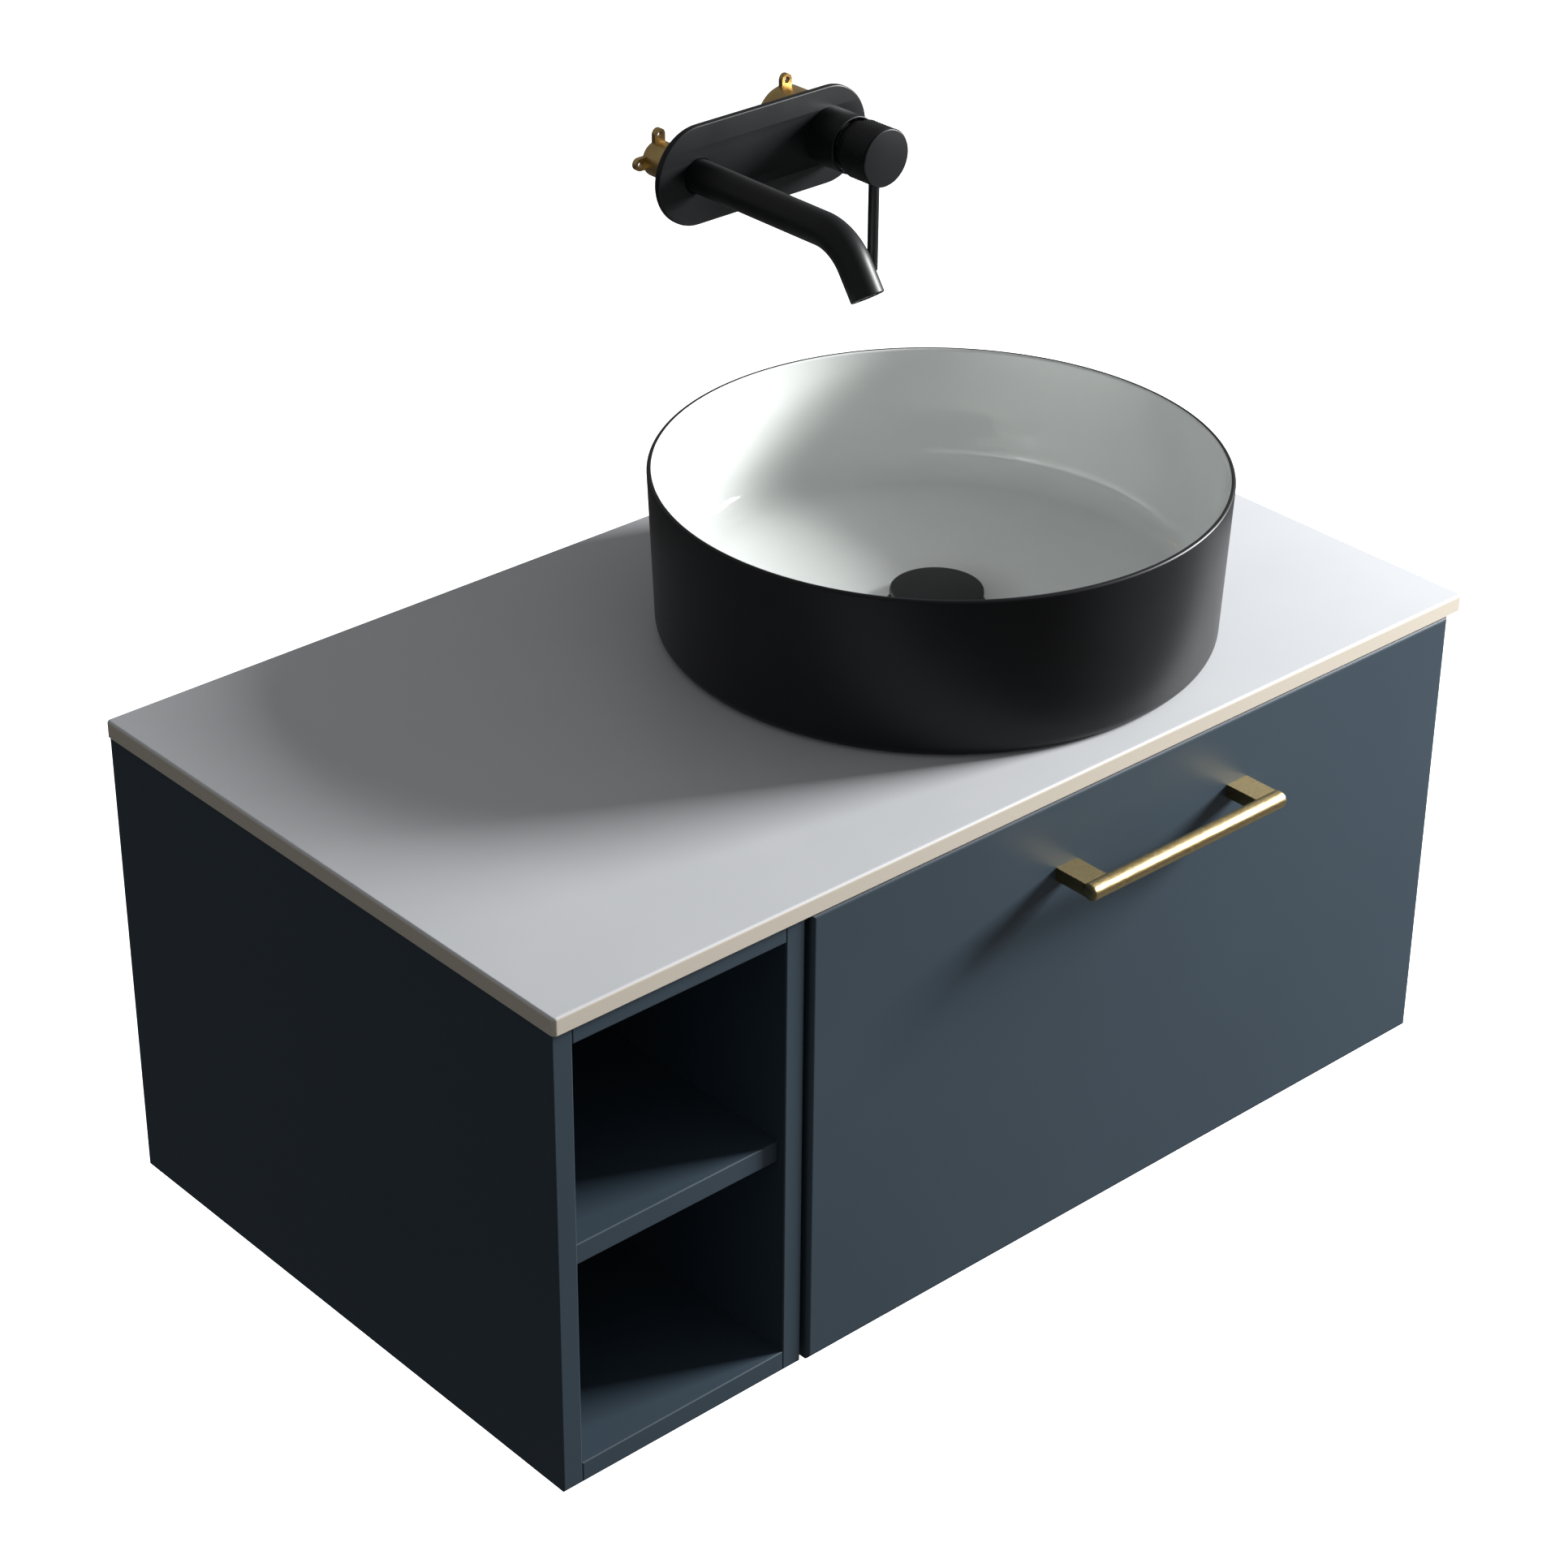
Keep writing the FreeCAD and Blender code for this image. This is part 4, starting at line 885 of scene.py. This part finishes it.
stands_for(piece("cover_plate", plate, matte_black), "tap_cover_plate")

# %% Sleeve, knob and lever
sleeve_back = wall_end("tap_sleeve")
sleeve_length = size("tap_sleeve").y
sleeve_radius = size("tap_sleeve").x / 2
sleeve_wall = 1.4 * MM
sleeve = bmesh.new()
turn(sleeve, soften([(sleeve_radius - sleeve_wall, 0, 0), (sleeve_radius, 0, 0),
                     (sleeve_radius, sleeve_length, 0.6 * MM),
                     (sleeve_radius - sleeve_wall, sleeve_length, 0.5 * MM)]),
     sleeve_back, -Y, steps=128)
stands_for(piece("knob_sleeve", sleeve, matte_black), "tap_sleeve")

knob_back = Vector((centre("tap_sleeve").x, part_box("tap_knob")[1].y, spout_axis_z))
knob_radius = size("tap_knob").x / 2
knob_length = size("tap_knob").y
collar_length = 8.5 * MM
collar_radius = knob_radius - 3.3 * MM
socket_radius = socket_depth = 14 * MM
knurl_end = knob_length - 1.2 * MM
knurl_rungs = [(knob_radius, y) for y in ladder(collar_length + 0.8 * MM, knurl_end, 0.35 * MM)]
turned_knob = bmesh.new()
turn(turned_knob,
     soften([(socket_radius, 0, 0), (collar_radius, 0, 0.5 * MM),
             (collar_radius, collar_length, 0)], 3)
     + [(knob_radius - 0.7 * MM, collar_length)] + knurl_rungs
     + soften([(knob_radius, knob_length, 0.9 * MM), (0, knob_length, 0),
               (0, socket_depth, 0), (socket_radius, socket_depth, 0)], 4),
     knob_back, -Y, steps=360)
knob = piece("knurled_knob", turned_knob, matte_black)
for winding in (50, -50):
    groove(knob, knob_back, -Y, pitch=2.7 * MM, starts=winding, depth=0.26 * MM,
           reach=(collar_length + 0.6 * MM, knurl_end), fade=0.6 * MM,
           least=knob_radius - 0.6 * MM, finish=matte_black, sharp=60)
stands_for(knob, "tap_knob")

lever_top = top("tap_lever")
lever_radius = size("tap_lever").x / 2
lever_length = size("tap_lever").z
lever = bmesh.new()
turn(lever, soften([(0, 0, 0), (lever_radius, 0, 0.2 * MM),
                    (lever_radius, -lever_length, 1.6 * MM), (0, -lever_length, 0)]),
     lever_top, steps=56)
stands_for(piece("pin_lever", lever, matte_black), "tap_lever")

# %% [markdown]
# ## The bar handle
# The bar is covered from end to end with a fine diamond knurl. A lathe presses it with two
# wheels that wind in opposite directions, and so do the two passes here: where the grooves
# cross, small pyramids are left standing. The two posts are plain blocks with crisp, barely
# broken edges and a hollow that the bar is seated in.

# %% Bar and posts
bar_start = Vector((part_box("handle_bar")[0].x, centre("handle_bar").y, centre("handle_bar").z))
bar_length = size("handle_bar").x
bar_radius = size("handle_bar").z / 2
bar = bmesh.new()
bar_rungs = [(bar_radius, x) for x in ladder(0.7 * MM, bar_length - 0.7 * MM, 0.28 * MM)]
turn(bar, [(0, 0), (bar_radius - 0.6 * MM, 0)] + bar_rungs
     + [(bar_radius - 0.6 * MM, bar_length), (0, bar_length)], bar_start, X, steps=132)
grip = piece("knurled_bar", bar, handle_brass)
for winding in (21, -21):
    groove(grip, bar_start, X, pitch=1.68 * MM, starts=winding, depth=0.21 * MM,
           reach=(0.3 * MM, bar_length - 0.3 * MM), fade=0.5 * MM,
           least=bar_radius - 0.45 * MM, finish=handle_brass, sharp=60)
stands_for(grip, "handle_bar")

for side in ("left", "right"):
    name = "handle_post_" + side
    low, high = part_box(name)
    seat = math.asin((high.z - low.z) / 2 / bar_radius)
    seat_points = [(bar_start.y + bar_radius * math.cos(a), bar_start.z - bar_radius * math.sin(a))
                   for a in ladder(seat, -seat, math.radians(8))]
    back = [(high.y, high.z), (high.y, low.z)]
    block = bmesh.new()
    prism(block, seat_points + back, Vector((low.x, 0, 0)), Y, Z, X * (high.x - low.x))
    long_edges = [e for e in block.edges if e.calc_face_angle(0) > math.radians(40)]
    bmesh.ops.bevel(block, geom=long_edges, offset=0.4 * MM, segments=2, affect="EDGES",
                    profile=0.5)
    stands_for(piece("post_" + side, block, handle_brass), name)

# %% [markdown]
# ## Screws by the dozen
# One pan-head screw with a cross recess is modelled carefully, then a node tree copies it to
# every place where the CAD has a screw. The places come from the CAD mesh itself: each loose
# part of it is one screw, its longest side is its axis, and the wide end is its head.


# %% Screw places
def loose_parts(name):
    """Corner lists of the separate solids inside one CAD node."""
    copy = bmesh.new()
    copy.from_mesh(frame["nodes"][name].data)
    bmesh.ops.remove_doubles(copy, verts=copy.verts, dist=1e-6)
    unseen, parts = set(copy.verts), []
    while unseen:
        part, edge = [], [unseen.pop()]
        while edge:
            corner = edge.pop()
            part.append(corner.co.copy())
            for link in corner.link_edges:
                other = link.other_vert(corner)
                if other in unseen:
                    unseen.discard(other)
                    edge.append(other)
        parts.append(part)
    copy.free()
    return parts


def screw_place(corners):
    """Outer middle of the head, the way the screw points, its length and its head's radius."""
    low = Vector([min(c[i] for c in corners) for i in range(3)])
    high = Vector([max(c[i] for c in corners) for i in range(3)])
    span = high - low
    long_side = max(range(3), key=lambda i: span[i])
    axis = (X, Y, Z)[long_side]
    middle = (low + high) / 2
    widest = max(corners, key=lambda c: (c - middle - axis * (c - middle).dot(axis)).length)
    aim = -axis if widest[long_side] > middle[long_side] else axis
    return middle - aim * span[long_side] / 2, aim, span[long_side], span[long_side - 1] / 2


def screw_pattern(length, head_radius):
    """A pan-head screw that points down from the origin, its head uppermost."""
    head, shank = 1.0 * MM, 2.0 * MM
    cut = 0.35 * MM
    rungs = [(shank - cut * (i % 2), -z)
             for i, z in enumerate(ladder(head + 0.4 * MM, length - 2 * MM, 0.7 * MM))]
    shape = bmesh.new()
    turn(shape, [(0, -0.25 * MM), (0.7 * MM, -0.25 * MM), (0.9 * MM, 0),
                 (head_radius * 0.75, 0), (head_radius, -0.7 * head), (head_radius, -head),
                 (shank, -head)] + rungs + [(0, -length)], Vector(), Z, steps=16)
    made = piece("screw_pattern", shape, zinc_steel)
    for turned in (0, 90):
        arm = bmesh.new()
        spin = Matrix.Rotation(math.radians(turned), 3, "Z")
        reach = head_radius * 0.55
        prism(arm, [(-reach, -0.4 * MM), (reach, -0.4 * MM), (reach, 0.4 * MM),
                    (-reach, 0.4 * MM)], Z * 0.5 * MM, spin @ X, spin @ Y, -Z * 1.2 * MM)
        cutter = piece("recess_cutter", arm)
        cut_out = made.modifiers.new("Recess", "BOOLEAN")
        cut_out.object, cut_out.operation, cut_out.solver = cutter, "DIFFERENCE", "EXACT"
        bpy.context.view_layer.update()
        seen = made.evaluated_get(bpy.context.evaluated_depsgraph_get())
        made.data = bpy.data.meshes.new_from_object(seen)
        made.modifiers.clear()
        bpy.data.objects.remove(cutter)
    return made


def scatter_tree():
    tree = bpy.data.node_groups.new("Copies on points", "GeometryNodeTree")
    tree.interface.new_socket("Geometry", in_out="OUTPUT", socket_type="NodeSocketGeometry")
    for label, kind in (("Geometry", "Geometry"), ("Pattern", "Object"),
                        ("Finish", "Material")):
        tree.interface.new_socket(label, in_out="INPUT", socket_type="NodeSocket" + kind)
    given = tree.nodes.new("NodeGroupInput").outputs
    aim = add(tree, "GeometryNodeInputNamedAttribute", {"Name": "aim"},
              data_type="FLOAT_VECTOR")
    facing = add(tree, "FunctionNodeAlignRotationToVector", {"Vector": aim}, axis="Z")
    pattern = add(tree, "GeometryNodeObjectInfo", {"Object": given["Pattern"]},
                  out="Geometry")
    copies = add(tree, "GeometryNodeInstanceOnPoints",
                 {"Points": given["Geometry"], "Instance": pattern, "Rotation": facing})
    whole = add(tree, "GeometryNodeRealizeInstances", {"Geometry": copies})
    dressed = add(tree, "GeometryNodeSetMaterial",
                  {"Geometry": whole, "Material": given["Finish"]})
    add(tree, "NodeGroupOutput", {"Geometry": dressed})
    return tree


copies = scatter_tree()
print("copying tree:", len(copies.nodes), "nodes")
for name in ("cabinet_screws", "drawer_screws", "handle_screws"):
    groups = {}
    for corners in loose_parts(name):
        head, aim, length, radius = screw_place(corners)
        groups.setdefault((round(length / MM), round(radius / MM, 1)), []).append((head, aim))
    parts = []
    for (length, radius), places in groups.items():
        pattern = screw_pattern(length * MM, radius * MM)
        dots = bpy.data.meshes.new("Screw places")
        dots.from_pydata([head for head, aim in places], [], [])
        stored = dots.attributes.new("aim", "FLOAT_VECTOR", "POINT")
        for item, (head, aim) in zip(stored.data, places):
            item.vector = -aim
        row = bpy.data.objects.new("Screws %d mm" % length, dots)
        bpy.context.scene.collection.objects.link(row)
        grow(row, copies, pattern=pattern, finish=zinc_steel)
        bpy.data.objects.remove(pattern)
        parts.append(row)
    every = bmesh.new()
    for row in parts:
        every.from_mesh(row.data)
        bpy.data.objects.remove(row)
    stands_for(piece("every_" + name, every, zinc_steel), name)

# %% [markdown]
# ## Light, floor and camera
# One large lamp low on the right does most of the work: it rakes over the top, throws the
# bowl's long soft shadow to the left and leaves the left side dark. A plain bright
# surrounding fills the shadows a little. The camera looks down over the left front corner
# with a long lens, so the edges stay nearly parallel.

# %% Stage
floor_reach, floor_drop, floor_thickness = 30.0, 620 * MM, 20 * MM
floor_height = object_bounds()[0].z - floor_drop
floor_mesh = bmesh.new()
prism(floor_mesh, [(-floor_reach, -floor_reach), (floor_reach, -floor_reach),
                   (floor_reach, floor_reach), (-floor_reach, floor_reach)],
      Vector((0, 0, floor_height)), X, Y, -Z * floor_thickness)


def pale_floor(tree, here):
    # plain matte white to the eye; it throws hardly any light back, so the shade stays deep
    wash = add(tree, "ShaderNodeTexNoise", {"Vector": here, "Scale": 1 / (900 * MM)})
    tint = add(tree, "ShaderNodeMix", {0: wash, 6: colour("FBFBFB"), 7: colour("FFFFFF")},
               out=2, data_type="RGBA")
    looked_at = add(tree, "ShaderNodeLightPath", out="Is Camera Ray")
    shown = add(tree, "ShaderNodeMix", {0: looked_at, 6: colour("5A5A5A"), 7: tint},
                out=2, data_type="RGBA")
    # solid from above and clear from below, so the underside of the cabinet can be looked at
    facing = add(tree, "ShaderNodeNewGeometry", out="Normal")
    upward = add(tree, "ShaderNodeSeparateXYZ", {"Vector": facing}, out="Z")
    solid = add(tree, "ShaderNodeMath", {0: upward, 1: 0.0}, operation="GREATER_THAN")
    return {"Base Color": shown, "Roughness": 0.9, "Specular IOR Level": 0.1,
            "Emission Color": tint, "Emission Strength": looked_at, "Alpha": solid}


floor = piece("floor", floor_mesh, material("Pale matte floor", pale_floor))

scene = bpy.context.scene
scene.view_settings.view_transform = "Standard"
world = bpy.data.worlds.new("Bright room")
world.use_nodes = True
scene.world = world
room = world.node_tree
room.nodes.clear()
seen_directly = add(room, "ShaderNodeLightPath", out="Is Camera Ray")
level = add(room, "ShaderNodeMapRange",
            {"Value": seen_directly, "To Min": 0.26, "To Max": 1.05})
backdrop = add(room, "ShaderNodeBackground",
               {"Color": colour("FDFDFF"), "Strength": level})
add(room, "ShaderNodeOutputWorld", {"Surface": backdrop})


def softbox(name, azimuth, elevation, distance, across, power, aim):
    """A square lamp; azimuth 0 is in front of the object and 90 to its right."""
    turn_by, tilt = math.radians(azimuth), math.radians(elevation)
    away = Vector((math.sin(turn_by) * math.cos(tilt), -math.cos(turn_by) * math.cos(tilt),
                   math.sin(tilt)))
    lamp = bpy.data.lights.new(name, "AREA")
    lamp.shape, lamp.size, lamp.energy = "SQUARE", across, power
    made = bpy.data.objects.new(name, lamp)
    made.location = aim + away * distance
    made.rotation_mode = "QUATERNION"
    made.rotation_quaternion = (-away).to_track_quat("-Z", "Y")
    scene.collection.objects.link(made)
    return made


basin_top = top("basin")
key = softbox("Key lamp", azimuth=66, elevation=17.5, distance=2.6, across=0.75, power=205,
              aim=basin_top)
print("key lamp at", [round(v, 2) for v in key.location])

# %% Camera
azimuth, elevation, roll = math.radians(-41.96), math.radians(30.29), math.radians(0.51)
camera_at = Vector((-1.5026, -1.8840, 1.2789))
forward = Vector((-math.sin(azimuth) * math.cos(elevation),
                  math.cos(azimuth) * math.cos(elevation), -math.sin(elevation)))
view = bpy.data.cameras.new("Camera")
view.sensor_width, view.lens = 36.0, 87.66
view.clip_start, view.clip_end = 0.05, 100.0
camera = bpy.data.objects.new("Camera", view)
camera.location = camera_at
camera.rotation_mode = "QUATERNION"
upright = forward.to_track_quat("-Z", "Y")
camera.rotation_quaternion = upright @ Matrix.Rotation(roll, 3, "Z").to_quaternion()
scene.collection.objects.link(camera)
scene.camera = camera
print("camera %.2f m away, lens %.0f mm" % ((camera_at - basin_top).length, view.lens))
